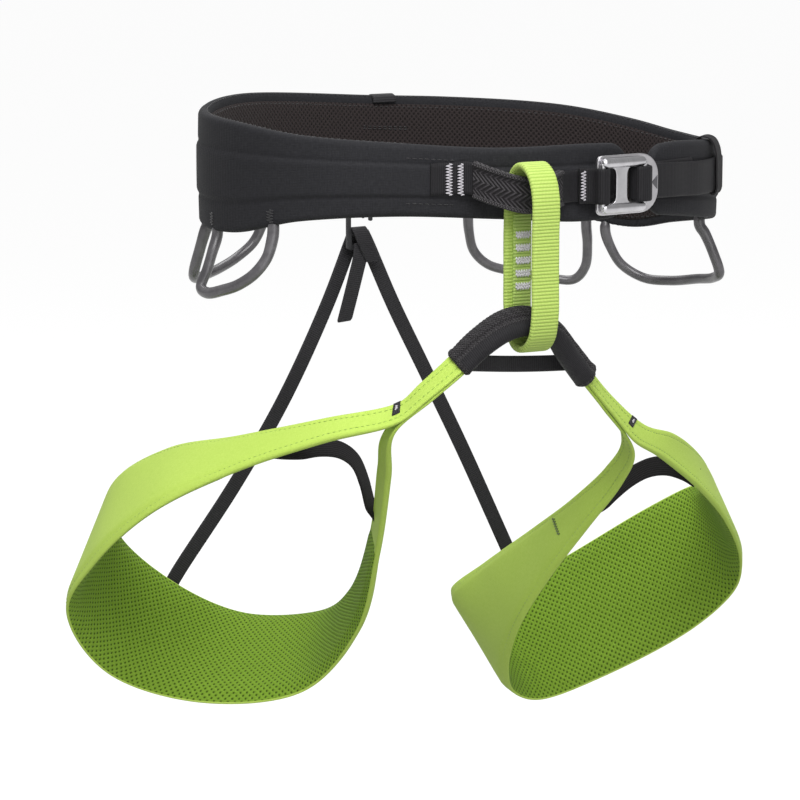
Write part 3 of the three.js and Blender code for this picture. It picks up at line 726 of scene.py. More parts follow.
class Shader:
    """A small helper for writing node materials. Inputs are numbers, colours or other nodes' outputs."""

    def __init__(self, name, roughness=0.8, metallic=0.0, sheen=0.0, coat=0.0, specular=0.5):
        self.material = bpy.data.materials.new(name)
        self.material.use_nodes = True
        self.tree = self.material.node_tree
        self.principled = self.tree.nodes["Principled BSDF"]
        for socket, value in (
            ("Roughness", roughness), ("Metallic", metallic), ("Sheen Weight", sheen),
            ("Sheen Roughness", 0.4), ("Coat Weight", coat), ("Specular IOR Level", specular),
        ):
            self.principled.inputs[socket].default_value = value

    def put(self, socket, value):
        if isinstance(value, bpy.types.NodeSocket):
            self.tree.links.new(value, socket)
        elif isinstance(value, (list, tuple)):
            socket.default_value = (*value, 1) if len(socket.default_value) == 4 else value
        else:
            socket.default_value = value

    def node(self, kind, inputs=(), **settings):
        made = self.tree.nodes.new(kind)
        for key, value in settings.items():
            setattr(made, key, value)
        for key, value in dict(inputs).items():
            self.put(made.inputs[key], value)
        return made

    def math(self, operation, *values):
        made = self.node("ShaderNodeMath", operation=operation)
        for i, value in enumerate(values):
            self.put(made.inputs[i], value)
        return made.outputs[0]

    def times(self, a, b):
        return self.math("MULTIPLY", a, b)

    def times_add(self, a, b, c):
        """a times b, plus c."""
        return self.math("MULTIPLY_ADD", a, b, c)

    def uv(self):
        """Millimetres along and across the piece."""
        source = self.node("ShaderNodeUVMap", uv_map="strap")
        parts = self.node("ShaderNodeSeparateXYZ", {"Vector": source.outputs[0]})
        return parts.outputs[0], parts.outputs[1]

    def combine(self, x, y, z=0.0):
        return self.node("ShaderNodeCombineXYZ", {0: x, 1: y, 2: z}).outputs[0]

    def place(self):
        return self.node("ShaderNodeTexCoord").outputs["Object"]

    def noise(self, vector, scale, detail=3.0, roughness=0.55):
        inputs = {"Vector": vector, "Scale": scale, "Detail": detail, "Roughness": roughness}
        return self.node("ShaderNodeTexNoise", inputs).outputs["Fac"]

    def fuzz(self, u, v, scale):
        """Fine loose fibres, in the piece's own millimetres."""
        return self.noise(self.combine(u, v), scale, 5.0, 0.7)

    def patches(self, scale):
        """Soft patches that run through the whole part."""
        return self.noise(self.place(), scale)

    def ramp(self, value, low, high, start=0.0, end=1.0):
        inputs = {0: value, 1: low, 2: high, 3: start, 4: end}
        made = self.node("ShaderNodeMapRange", inputs, interpolation_type="SMOOTHSTEP")
        return made.outputs[0]

    def mix(self, factor, a, b):
        made = self.node("ShaderNodeMix", data_type="RGBA")
        for index, value in ((0, factor), (6, a), (7, b)):
            self.put(made.inputs[index], value)
        return made.outputs[2]

    def shades(self, factor, dark, bright):
        """From a dark to a bright colour code."""
        return self.mix(factor, srgb(dark), srgb(bright))

    def wave(self, value, pitch, shift=0.0):
        """0 to 1 and back over each pitch."""
        turn = self.times_add(value, 2 * math.pi / pitch, shift)
        return self.times_add(self.math("SINE", turn), 0.5, 0.5)

    def bump(self, height, strength, distance):
        inputs = {"Height": height, "Strength": strength, "Distance": distance}
        return self.node("ShaderNodeBump", inputs).outputs[0]

    def finish(self, colour, normal, roughness=None):
        self.put(self.principled.inputs["Base Color"], colour)
        self.put(self.principled.inputs["Normal"], normal)
        if roughness is not None:
            self.put(self.principled.inputs["Roughness"], roughness)
        return self.material


def ribbed_webbing(name, bright, dark, rib, thread, sheen=0.05, specular=0.4):
    """Woven webbing: ribs across it, split into warp threads that step aside on every other rib. Its colour
    is painted shade, darker in the grooves between ribs and threads.
    """
    s = Shader(name, roughness=0.62, sheen=sheen, specular=specular)
    u, v = s.uv()
    rib_wave = s.math("ABSOLUTE", s.math("SINE", s.times(u, math.pi / rib)))
    row = s.math("FLOOR", s.math("DIVIDE", u, rib))
    shifted = s.times_add(row, thread / 2, v)
    slanted = s.times_add(u, 0.35, shifted)
    warp = s.wave(slanted, thread)
    crown = s.math("POWER", rib_wave, 0.6)
    height = s.times(crown, s.times_add(warp, 0.45, 0.55))
    fuzz = s.fuzz(u, v, 1.7)
    soil = s.patches(28.0)
    height = s.times_add(fuzz, 0.3, height)
    # painted shade: the colour follows the relief, darker in the grooves between ribs and threads; the fibre
    # fuzz in it is real texture
    shade = s.ramp(height, 0.25, 1.05)
    colour = s.shades(shade, dark, bright)
    colour = s.mix(s.ramp(soil, 0.3, 0.8, 0.0, 0.16), colour, srgb(dark))
    rough = s.times_add(fuzz, 0.25, 0.5)
    return s.finish(colour, s.bump(height, 0.5, 0.0004), rough)


def plain_weave(name, bright, dark, thread=0.55, sheen=0.05, depth=0.35, stripe=0.0, specular=0.4):
    """Close plain-woven cloth with faint slubs and broad, soft variation, and a little painted shade between
    the thread crossings.
    """
    s = Shader(name, sheen=sheen, specular=specular)
    u, v = s.uv()
    warp = s.wave(u, thread)
    weft = s.wave(v, thread, 1.2)
    over = s.times(warp, weft)
    slub = s.noise(s.combine(s.times(u, 0.25), s.times(v, 3.0)), 1.0, 4.0, 0.65)
    slub_across = s.noise(s.combine(s.times(u, 3.0), s.times(v, 0.25)), 1.0, 4.0, 0.65)
    heather = s.math("ADD", slub, slub_across)
    broad = s.patches(14.0)
    height = s.times_add(heather, 0.7, s.times(over, 0.6))
    if stripe:
        height = s.times_add(s.wave(u, stripe), 0.35, height)
    shade = s.ramp(heather, 0.7, 1.3)
    # a quarter of the tone is painted shade, lighter on the raised thread crossings and darker between them;
    # the rest is the yarn's own slubs
    shade = s.times_add(over, 0.25, s.times(shade, 0.75))
    colour = s.shades(shade, dark, bright)
    colour = s.mix(s.ramp(broad, 0.35, 0.75, 0.0, 0.3), colour, srgb(dark))
    rough = s.times_add(heather, 0.12, 0.62)
    return s.finish(colour, s.bump(height, depth, 0.0002), rough)


def spacer_mesh(name, bright, dark, hole_shade, pitch_along, pitch_across, size):
    """Warp-knitted mesh: small holes in a staggered grid, painted in a dark shade colour, with soft rims
    between them.
    """
    s = Shader(name, roughness=0.85, sheen=0.04, specular=0.2)
    u, v = s.uv()
    wander = s.noise(s.combine(u, v), 0.12, 2.0)
    u = s.times_add(wander, 1.5, u)

    def nearest(shift):
        x = s.math("SUBTRACT", s.math("FRACT", s.math("ADD", s.math("DIVIDE", u, pitch_along), shift)), 0.5)
        y = s.math("SUBTRACT", s.math("FRACT", s.math("ADD", s.math("DIVIDE", v, pitch_across), shift)), 0.5)
        x = s.times(x, pitch_along)
        y = s.times(y, pitch_across * 0.8)
        return s.math("SQRT", s.math("ADD", s.times(x, x), s.times(y, y)))

    away = s.math("MINIMUM", nearest(0.0), nearest(0.5))
    open_hole = s.ramp(away, size * 0.55, size * 1.25, 1.0, 0.0)
    fibre = s.noise(s.combine(s.times(u, 2.2), v), 2.0, 4.0, 0.7)
    height = s.times_add(fibre, 0.35, s.ramp(away, size * 0.4, size * 1.9))
    broad = s.patches(16.0)
    colour = s.shades(s.ramp(fibre, 0.3, 0.7), dark, bright)
    colour = s.mix(s.ramp(broad, 0.35, 0.75, 0.0, 0.3), colour, srgb(dark))
    # painted shade: the holes take a dark colour for the shaded space behind the mesh
    colour = s.mix(open_hole, colour, srgb(hole_shade))
    return s.finish(colour, s.bump(height, 0.8, 0.0007))


def knurled_sleeve(name, bright, dark, pitch=1.6, column_pitch=2.2):
    """Thick abrasion sleeve, knitted in zigzag ridges, with painted shade in the furrows between them."""
    s = Shader(name, roughness=0.75, sheen=0.06, specular=0.25)
    u, v = s.uv()
    sway = s.math("PINGPONG", v, column_pitch / 2)
    ridge = s.wave(s.times_add(sway, 1.15, u), pitch)
    column = s.wave(v, column_pitch, 0.8)
    fuzz = s.fuzz(u, v, 2.2)
    height = s.times(ridge, s.times_add(column, 0.5, 0.5))
    height = s.times_add(fuzz, 0.45, height)
    # painted shade: the colour follows the relief, darker in the furrows between the ridges
    colour = s.shades(s.ramp(height, 0.35, 1.15), dark, bright)
    return s.finish(colour, s.bump(height, 1.0, 0.0008))


def knitted_elastic(name, bright, dark):
    """Fine lengthwise ribs of a knitted elastic strap, with painted shade between the ribs."""
    s = Shader(name, roughness=0.8, sheen=0.05, specular=0.2)
    u, v = s.uv()
    wale = s.wave(v, 1.3)
    course = s.wave(s.times_add(v, 0.5, u), 0.9)
    fuzz = s.fuzz(u, v, 2.0)
    height = s.times_add(wale, 0.6, s.times(course, 0.4))
    height = s.times_add(fuzz, 0.3, height)
    # painted shade: the colour follows the relief, darker between the ribs
    colour = s.shades(s.ramp(height, 0.3, 1.1), dark, bright)
    return s.finish(colour, s.bump(height, 0.6, 0.0003))


def satin_metal(name, colour_code, roughness):
    """Anodised aluminium with fine brushing, small dents and lighter worn patches."""
    s = Shader(name, roughness=roughness, metallic=1.0)
    place = s.place()
    parts = s.node("ShaderNodeSeparateXYZ", {"Vector": place})
    x, y, z = parts.outputs
    grain = s.noise(s.combine(s.times(x, 90.0), y, s.times(z, 6.0)), 40.0, 4.0, 0.7)
    cloud = s.noise(place, 120.0, 4.0, 0.6)
    colour = s.mix(s.ramp(cloud, 0.3, 0.75, 0.0, 0.35), srgb(colour_code), srgb(0x8A898C))
    rough = s.times_add(grain, 0.16, s.times_add(cloud, 0.18, roughness - 0.16))
    height = s.times_add(cloud, 0.5, grain)
    return s.finish(colour, s.bump(height, 0.12, 0.0002), rough)


def moulded_plastic(name, bright, dark, roughness, coat=0.0):
    """Moulded plastic with a faint orange-peel skin and scuffs."""
    s = Shader(name, roughness=roughness, coat=coat)
    place = s.place()
    peel = s.noise(place, 720.0)
    scuff = s.noise(place, 60.0, 5.0, 0.7)
    colour = s.shades(s.ramp(scuff, 0.35, 0.7), dark, bright)
    rough = s.times_add(scuff, 0.2, roughness - 0.1)
    return s.finish(colour, s.bump(s.times_add(scuff, 0.4, peel), 0.12, 0.0002), rough)


def sewing_thread(name, bright, dark):
    """Twisted polyester thread, with painted shade in the grooves of its twist."""
    s = Shader(name, roughness=0.55, sheen=0.3)
    u, v = s.uv()
    twist = s.wave(s.times_add(v, 0.8, u), 0.5)
    tint = s.noise(s.place(), 300.0, 2.0)
    # painted shade in the grooves of the twist, with a random tint of the thread's own
    colour = s.shades(s.times_add(twist, 0.6, s.times(tint, 0.5)), dark, bright)
    return s.finish(colour, s.bump(twist, 0.5, 0.0001))


LIME_WEBBING = ribbed_webbing("lime_ribbed_webbing", 0xC2D972, 0x96B54C, 1.9, 0.9, specular=0.3)
# painted shade: a darker copy of the lime webbing, for the stacked webbing inside the belay loop
LIME_WEBBING_SHADED = ribbed_webbing("lime_stacked_webbing_shaded", 0xBCD474, 0x83A442, 1.9, 0.9)
LIME_STRAP = plain_weave("lime_strap", 0xC0DC72, 0x9CBF4E, 0.8, depth=0.5, stripe=1.6)
LIME_CLOTH = plain_weave("lime_cloth", 0xC2DC69, 0xACCC50, specular=0.25)
# the third colour is the painted shade in the mesh's holes
LIME_MESH = spacer_mesh("lime_mesh", 0x8CB038, 0x769A2C, 0x425C14, 3.7, 4.0, 0.62)
BLACK_CLOTH = plain_weave("black_cloth", 0x333336, 0x1D1D20, 0.9,
                          sheen=0.03, depth=0.8, specular=0.15, stripe=2.4)
# the third colour is the painted shade in the mesh's holes
BLACK_MESH = spacer_mesh("black_mesh", 0x342D2D, 0x272121, 0x120E0E, 3.2, 3.4, 0.55)
BLACK_WEBBING = ribbed_webbing("black_webbing", 0x302F32, 0x151416, 1.3, 0.7, sheen=0.04, specular=0.25)
BELT_STRAP = ribbed_webbing("black_belt_webbing", 0x252427, 0x100F11, 1.2, 0.7, sheen=0.03, specular=0.2)
SLEEVE = knurled_sleeve("abrasion_sleeve", 0x444144, 0x1A181A)
HERRINGBONE = knurled_sleeve("herringbone_sleeve", 0x474447, 0x171517, pitch=3.0, column_pitch=9.5)
SEAM_CORD = knurled_sleeve("seam_cord", 0x5C595C, 0x242224)
ELASTIC = knitted_elastic("elastic_black", 0x29272A, 0x131213)
FRAME_METAL = satin_metal("buckle_frame_metal", 0xC2C0C3, 0.34)
SLIDER_METAL = satin_metal("buckle_slider_metal", 0xC4C3C6, 0.3)
# painted shade: a dark metal for the plate that stands in for the buckle's shaded bevelled recess
RECESS_SHADE_METAL = satin_metal("buckle_recess_shade_metal", 0x5E5D60, 0.35)
GEAR_PLASTIC = moulded_plastic("gear_loop_plastic", 0x5E5C5F, 0x454346, 0.34, coat=0.25)
HOOK_PLASTIC = moulded_plastic("hook_plastic", 0x29292B, 0x19191B, 0.5)
PALE_THREAD = sewing_thread("pale_thread", 0xF2F0F2, 0xC0BEC3)
WHITE_THREAD = sewing_thread("white_thread", 0xDEDBE0, 0xA6A2AA)
LIME_THREAD = sewing_thread("lime_thread", 0xB4D060, 0x7C9E38)
BLACK_THREAD = sewing_thread("black_thread", 0x2C2B2E, 0x121113)
GREEN_THREAD = sewing_thread("dark_green_thread", 0x6C863C, 0x44581E)

# ---------------- waist belt

BELT_OUTER = 3.0
BELT_INNER = -2.9
BELT_WRAP = 5.5
BELT_SKIN = 0.7
RIDGE_HEIGHT = 0.9
LINING_INSET = 5.2
SEAM_THREAD = 0.3


def belt_skin(h, wrap, outer, inner, skin, columns=44):
    """Outline of a cloth that covers the outer face of a pad and wraps over both its edges."""
    edge = (outer - inner) / 2
    middle = (outer + inner) / 2
    turn = np.radians(np.linspace(-90, 90, 9))[1:-1]
    reach = h - edge
    first = [[-(reach - wrap), inner], [-(reach - wrap / 2), inner], [-reach, inner]]
    low_arc = [[-(reach + edge * math.cos(t)), middle + edge * math.sin(t)] for t in turn]
    face = [[x, outer] for x in np.linspace(-reach, reach, columns)]
    high_arc = [[-x, y] for x, y in low_arc[::-1]]
    last = [[-x, y] for x, y in first[::-1]]
    path = np.array(first + low_arc + face + high_arc + last)
    along = np.gradient(path, axis=0)
    normal = unit(np.stack([along[:, 1], -along[:, 0]], axis=1))
    back = path + normal * skin
    return path, back[::-1]


def waist_belt():
    """The belt's cloth with its padded ridge, and the mesh pad inside it."""
    low, high, angle = belt_rows(spacing=3.0)
    count = len(angle)
    pucker = rng.normal(0, 1, 64)

    def outline(i, h):
        path, back = belt_skin(h, BELT_WRAP, BELT_OUTER, BELT_INNER, BELT_SKIN)
        s = path[:, 0] / h
        outside = path[:, 1] > BELT_OUTER - 0.05
        fade = min(min(i, count - 1 - i) / 10, 1)
        ridge = smoothstep(s, -0.46, -0.36) * (1 - smoothstep(s, 0.36, 0.46))
        groove = bump_at(s, -0.47, 0.035) + bump_at(s, 0.47, 0.035)
        wave = math.sin(i * 0.11 + pucker[0]) * 0.35 + math.sin(i * 0.27 + pucker[1]) * 0.2
        rise = (RIDGE_HEIGHT * ridge - 0.45 * groove + 0.5 * (1 - s ** 2) + 0.15 * wave) * fade
        path = path + np.stack([np.zeros_like(s), rise * outside], axis=1)
        return np.vstack([path, back])

    shell = band("belt_cover", low, high, outline, "waist_belt", BLACK_CLOTH, "belt_shell",
                 replaces=("belt_outer_shell", "belt_core_webbing"))

    def inside(i, h):
        fade = min(min(i, count - 1 - i) / 12, 1)
        s = np.linspace(-1, 1, 30)
        swell = -3.0 - (0.4 + 1.3 * (1 - s ** 4)) * fade
        return two_faces(s * (h - LINING_INSET), swell, -2.1)

    trim = slice(6, count - 6)
    pad = band("belt_mesh_pad", low[trim], high[trim], inside, "waist_belt", BLACK_MESH, "belt_lining",
               replaces=("belt_mesh_lining", "belt_foam_core"))


def belt_point(angle, share, out):
    """Points on the belt: share runs from -1 at its lower edge to 1 at its upper edge."""
    angle = np.asarray(angle, float)
    centre, height = belt_table(angle)
    return beside_belt(angle, np.broadcast_to(out, angle.shape), centre + height / 2 * np.asarray(share))


def belt_seams():
    """Stitch rows along both edges, round the lining and over sewn-in straps, and the gear loops' tacks."""
    parts = []
    for first, last, share, out in (
        (-60, 236, -0.985, -2.0), (-60, 236, 0.985, -2.0),
        (236, 247, 0.62, 3.5), (236, 247, -0.62, 3.5), (82, 94, 0.44, -4.9), (82, 94, 0.40, -4.9),
    ):
        angle = np.linspace(first, last, int(abs(last - first) * 2))
        side = belt_normal(angle) * (1 if out > 0 else -1)
        parts += stitches(belt_point(angle, share, out), side, length=2.4, gap=1.1, radius=SEAM_THREAD)
    for route in GEAR_LOOP_ROUTES.values():
        for angle, _, _ in (route[0], route[-1]):
            normal = belt_normal(angle)
            centre = belt_point(angle, -0.78, 3.15)
            parts.append(zigzag(centre, UP, np.cross(UP, normal), normal,
                                length=7, width=4.5, turns=9, radius=SEAM_THREAD))
    for share in (-0.80, 0.80):
        angle = np.linspace(-55, 275, 900)
        path = belt_point(angle, share, -3.55)
        parts += stitches(path, -belt_normal(angle), length=2.4, gap=1.3, radius=SEAM_THREAD)
    joined_piece("belt_stitching", parts, "waist_belt", BLACK_THREAD)


waist_belt()
belt_seams()

# ---------------- tie-in strap and belay loop

TIE_IN_COVER_WIDTH = 20.8
# the part of the strap that is in its cover, as shares of its length
TIE_IN_COVERED = (0.23, 0.80)
BELAY_TACK_HEIGHTS = (-21.5, -28.7, -35.9, -43.1, -50.3)
BELAY_STACK_X = BELAY_X + 1.6
BELAY_STACK_WIDTH = 11.5


def tie_in():
    """The strap that holds the belay loop, its herringbone cover and the cord along the cover's edges."""
    route = np.array(TIE_IN_ROUTE, float)
    height = route[:, 2] + TIE_IN_LIFT
    middle = spline(beside_belt(route[:, 0], route[:, 1], height), 200)
    middle = evenly([middle], 0.6)[0]
    low, high = rows_of(middle, UP, TIE_IN_WIDTH)
    band("tie_in_strap", low, high, flat_outline(1.8), "waist_belt", BELT_STRAP, "black_webbing",
         relief=ribs(pitch=1.3, height=0.12), replaces=("tie_in_webbing",))
    start, end = (int(len(middle) * share) for share in TIE_IN_COVERED)
    low, high = rows_of(middle[start:end], UP, TIE_IN_COVER_WIDTH)

    def outline(i, h):
        s = crowded(26, 1.3)
        body = 2.2 * np.sqrt(np.clip(1 - s ** 8, 0.02, 1))
        lift = body + 0.75 * (bump_at(s, -0.86, 0.07) + bump_at(s, 0.86, 0.07))
        return two_faces(s * h, -lift, lift)

    band("tie_in_cover", low, high, outline, "waist_belt", HERRINGBONE, "sleeve",
         relief=lambda u, a, face: 0.2 * np.sin(2 * np.pi * (u + 1.1 * np.abs(a)) / 3.0),
         replaces=("tie_in_sleeve",))
    _, across, normal, length = strip_frames(low, high)
    outwards = normal * np.sign((normal * belt_normal(258.0)).sum(axis=1, keepdims=True))
    radius = 1.15 + 0.16 * np.abs(np.sin(np.pi * length / 1.3))
    cords = [
        tube_mesh(edge + across * inwards * 1.5 + outwards * 2.0, radius, sides=10)
        for edge, inwards in ((low, 1), (high, -1))
    ]
    joined_piece("tie_in_cover_seams", cords, "waist_belt", SEAM_CORD)


def belay_loop():
    """The sewn ring, the doubled webbing inside it and the bar tacks across that."""
    points = [[BELAY_X, y, z] for y, z in BELAY_ROUTE]
    middle = evenly([spline(points, 600, ring=True)], 0.28, ring=True)[0]
    low, high = rows_of(middle, SIDEWAYS, BELAY_WIDTH)
    band("belay_webbing", low, high, flat_outline(BELAY_THICKNESS - 0.3, columns=14), "belay_loop",
         LIME_WEBBING, "lime_webbing", ring=True, relief=ribs(pitch=1.9, height=0.2),
         replaces=("belay_loop",))
    z = np.linspace(-74, -10, 230)
    strand = np.stack([np.full_like(z, BELAY_STACK_X), np.full_like(z, -123.6), z], axis=1)
    low, high = rows_of(strand, SIDEWAYS, BELAY_STACK_WIDTH)
    # the stacked webbing gets the darker copy of the lime webbing, as painted shade inside the loop
    band("belay_stacked_webbing", low, high, flat_outline(1.6), "belay_loop", LIME_WEBBING_SHADED,
         "lime_webbing", relief=ribs(pitch=1.9, height=0.26))
    tacks = [
        zigzag((BELAY_STACK_X, -124.6, height + row), SIDEWAYS, UP, (0, -1, 0),
               length=9.0, width=2.2, turns=11, radius=0.4)
        for height in BELAY_TACK_HEIGHTS for row in (-0.9, 0.9)
    ]
    joined_piece("belay_bar_tacks", tacks, "belay_loop", PALE_THREAD)


tie_in()
belay_loop()

# ---------------- bridge


def bridge_rows(first, last, spacing, width):
    """Edge rows of the bridge between two station numbers."""
    stations = np.array(BRIDGE_STATIONS, float)
    steps = 400
    middle = spline(stations[:, 0], steps)
    across = unit(spline(stations[:, 1], steps))
    scale = steps / (len(stations) - 1)
    cut = slice(int(first * scale), int(last * scale) + 1)
    return evenly(rows_of(middle[cut], across[cut], width), spacing)


def bridge():
    """Two plies of webbing, the stuffed sleeve round them with its binding, and the cross strap."""
    for name, ply in (("upper", 1), ("lower", -1)):
        low, high = bridge_rows(first=1.2, last=8.8, spacing=0.8, width=BRIDGE_CORE_WIDTH)
        band(f"bridge_core_{name}", low, high, flat_outline(1.0, offset=ply * 0.75), "bridge", LIME_STRAP,
             "lime_webbing", replaces=(f"bridge_webbing_{name}",))

    low, high = bridge_rows(first=2.1, last=8.1, spacing=0.7, width=BRIDGE_SLEEVE_WIDTH)
    count = len(low)

    def bulge(i, s):
        """Height of the stuffed sleeve at cross-section i, thicker where both legs' webbings meet."""
        return (4.5 + 1.7 * smoothstep(i / count, 0.5, 0.72)) * (1 - np.abs(s) ** 3.2) ** 0.55

    def outline(i, h):
        s = crowded(30, 1.5)
        end = min(i, count - 1 - i)
        rim = 0.55 * math.exp(-((end - 3) / 2.2) ** 2) - 0.9 * math.exp(-(end / 1.2) ** 2)
        lift = np.maximum(bulge(i, s) - 0.9 * bump_at(s, -0.12, 0.1), 0.25) + rim
        return two_faces(s * (h + 0.4 * rim), -lift, lift)

    band("bridge_sleeve_cover", low, high, outline, "bridge", SLEEVE, "sleeve",
         relief=lambda u, a, face: 0.26 * np.sin(2 * np.pi * (u + 0.9 * np.abs(a - 2)) / 2.3)
         * smoothstep(a, -4.5, -2.5),
         replaces=("bridge_sleeve",))

    def binding(i, h):
        s = np.linspace(-1.0, -0.42, 12)
        lift = np.maximum(bulge(i, s), 0.25) + 0.45
        lift[-1] -= 0.7
        s[0] = -1.04
        return two_faces(s * h, -lift, lift)

    trim = slice(3, count - 3)
    band("bridge_sleeve_binding", low[trim], high[trim], binding, "bridge", BELT_STRAP, "sleeve")

    ends = np.array(CROSS_STRAP_ENDS, float)
    middle = np.linspace(ends[0], ends[1], 140) + UP * 1.6
    middle[:, 2] -= 0.8 * np.sin(np.linspace(0, np.pi, 140))
    low, high = rows_of(middle, UP, CROSS_STRAP_WIDTH)
    band("bridge_tie_strap", low, high, flat_outline(1.6), "bridge", BLACK_WEBBING, "elastic",
         relief=ribs(pitch=1.1, height=0.1), replaces=("bridge_cross_strap",))


bridge()

# ---------------- leg loops

LEG_BODY = {"right": "leg_loop_right", "left": "leg_loop_left"}
ARM_SKIN = 0.9
LINING_SPAN = {"right": (0.17, 0.84), "left": (0.13, 0.84)}
LEG_WRAP = 1.3
LEG_CROWN = 0.9
RIM_TAPER = 9.0
HEM = 4.2
LABEL_PLACE = {"right": 0.0, "left": -0.02}
# each bar tack's place along its leg loop and across it
BAR_TACK_PLACE = {"left": (0.835, 0.25), "right": (0.84, 0.3)}


def leg_thickness(t):
    """Distance out to the outer face and in to the inner face, from thin arms to the padded loop."""
    onto_loop = smoothstep(t, -0.02, 0.07) * (1 - smoothstep(t, 0.93, 1.02))
    half = leg_half(np.clip(t, 0, 1))
    outer = ARM_SKIN + (half + 2.0 - ARM_SKIN) * onto_loop
    inner = -(ARM_SKIN + (half + 1.1 - ARM_SKIN) * onto_loop)
    return outer, inner


def rim_share(from_edge, pad):
    """How much of a leg loop's thickness is left near its edges, so that its rims are slim."""
    return 1 - 0.58 * pad * (1 - smoothstep(from_edge / RIM_TAPER, 0, 1))


def leg_frames(side, spacing):
    """A leg loop's rows, directions, half widths, faces and padding at each of its cross-sections."""
    low, high, t = leg_band(side, spacing)
    middle, across, normal, _ = strip_frames(low, high, LEG_FACING[side])
    outer, inner = leg_thickness(t)
    return SimpleNamespace(
        low=low, high=high, t=t, middle=middle, across=across, normal=normal,
        half=np.linalg.norm(high - low, axis=1) / 2, outer=outer, inner=inner,
        pad=padding(np.clip(t, 0, 1)),
    )


def leg_blend(piece):
    """Bakes a piece's placement into its mesh."""
    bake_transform(piece)


def leg_loop(side):
    """The cloth, its backing, the mesh pad and the stitching along both hems."""
    leg = leg_frames(side, spacing=1.6)
    outer, inner, pad = leg.outer, leg.inner, leg.pad
    drift = rng.uniform(0, 6.28, 8)

    def thinned(path, i, h):
        keep = rim_share(h - np.abs(path[:, 0]), pad[i])
        return path * np.stack([np.ones_like(keep), keep], axis=1)

    def outline(i, h):
        path, back = belt_skin(h, LEG_WRAP, outer[i], inner[i], 0.45, columns=40)
        s = path[:, 0] / h
        outside = path[:, 1] > outer[i] - 0.02
        groove = bump_at(path[:, 0], HEM - h, 0.55) + bump_at(path[:, 0], h - HEM, 0.55)
        crown = LEG_CROWN * pad[i] * (1 - s ** 4)
        sway = np.sin(i * 0.06 + 2.2 * s + drift[0]) + 0.6 * np.sin(i * 0.13 - 3 * s + drift[1])
        rise = crown + 0.22 * pad[i] * sway - (0.2 + 0.25 * pad[i]) * groove
        path = path + np.stack([np.zeros_like(s), rise * outside], axis=1)
        return thinned(np.vstack([path, back]), i, h)

    def behind(i, h):
        s = np.linspace(-1, 1, 12)
        return thinned(two_faces(s * (h - 1.2), inner[i] + 0.25, outer[i] - 0.7), i, h)

    shell = band(f"leg_{side}_cover", leg.low, leg.high, outline, None, LIME_CLOTH, "lime_shell",
                 side=LEG_FACING[side], replaces=(f"leg_{side}_outer_shell", f"leg_{side}_load_fabric"))
    leg_blend(shell)
    backing = band(f"leg_{side}_backing", leg.low, leg.high, behind, None, LIME_CLOTH, "lime_shell",
                   side=LEG_FACING[side])
    leg_blend(backing)

    first, last = LINING_SPAN[side]
    keep = (leg.t > first) & (leg.t < last)
    count = int(keep.sum())
    skipped = int(np.argmax(keep))

    def lining(i, h):
        k = i + skipped
        edge = (outer[k] - inner[k]) / 2
        reach = h - 0.8
        s = np.sin(np.linspace(-1, 1, 44) * math.pi / 2)
        over = np.clip(np.abs(s) * reach - (h - edge), 0, edge)
        skin = (outer[k] + inner[k]) / 2 - np.sqrt(edge ** 2 - over ** 2)
        end = min(min(i, count - 1 - i) / 6, 1)
        swell = skin + 0.3 - 0.6 * end - (0.2 + 1.2 * pad[k]) * (1 - np.abs(s) ** 5) * end
        return thinned(two_faces(s * reach, swell, skin + 0.7), k, h)

    mesh = band(f"leg_{side}_mesh", leg.low[keep], leg.high[keep], lining, LEG_BODY[side], LIME_MESH,
                "lime_mesh", side=LEG_FACING[side],
                replaces=(f"leg_{side}_mesh_lining", f"leg_{side}_foam_core"))

    parts = []
    for sign in (-1, 1):
        share = sign * (leg.half - HEM) / leg.half
        face = (outer - 0.1) * rim_share(leg.half * (1 - np.abs(share)), pad)
        path = leg.middle + leg.across * (leg.half * share)[:, None] + leg.normal * face[:, None]
        parts += stitches(path, leg.normal, length=2.2, gap=1.1, radius=0.26)
    leg_blend(joined_piece(f"leg_{side}_stitching", parts, None, LIME_THREAD))


def leg_label(side):
    """The small dark label folded over the junction of the arm and the loop, with a pale bar on it."""
    leg = leg_frames(side, spacing=0.8)
    top = leg.middle + leg.normal * (leg.outer + 0.1)[:, None]
    centre = int(np.argmin(np.abs(leg.t - LABEL_PLACE[side])))
    span = slice(centre - 3, centre + 4)
    across, half = leg.across[span], leg.half[span, None]
    label = band(f"leg_{side}_label", top[span] - across * (half * 0.2), top[span] + across * (half * 0.95),
                 flat_outline(0.8), None, BLACK_WEBBING, "elastic", side=LEG_FACING[side],
                 relief=ribs(pitch=0.9, height=0.08))
    leg_blend(label)
    across, normal = leg.across[centre], leg.normal[centre]
    place = top[centre] + across * leg.half[centre] * 0.4 + normal * 0.35
    along = unit(leg.middle[centre + 1] - leg.middle[centre - 1])
    mark = zigzag(place, across, along, normal, length=3.6, width=1.5, turns=5, radius=0.3)
    leg_blend(joined_piece(f"leg_{side}_label_mark", [mark], None, WHITE_THREAD))


def leg_bar_tack(side):
    """The dark green bar tack across a leg loop's inner branch."""
    leg = leg_frames(side, spacing=0.8)
    place, share = BAR_TACK_PLACE[side]
    i = int(np.argmin(np.abs(leg.t - place)))
    across, normal = leg.across[i], leg.normal[i]
    crown = LEG_CROWN * leg.pad[i] * (1 - share ** 4)
    centre = leg.middle[i] + across * leg.half[i] * share + normal * (leg.outer[i] + crown)
    along = unit(leg.middle[i + 1] - leg.middle[i - 1])
    tack = zigzag(centre, across, along, normal, length=15, width=3.0, turns=14, radius=0.34)
    joined_piece(f"leg_{side}_bar_tack", [tack], LEG_BODY[side], GREEN_THREAD)


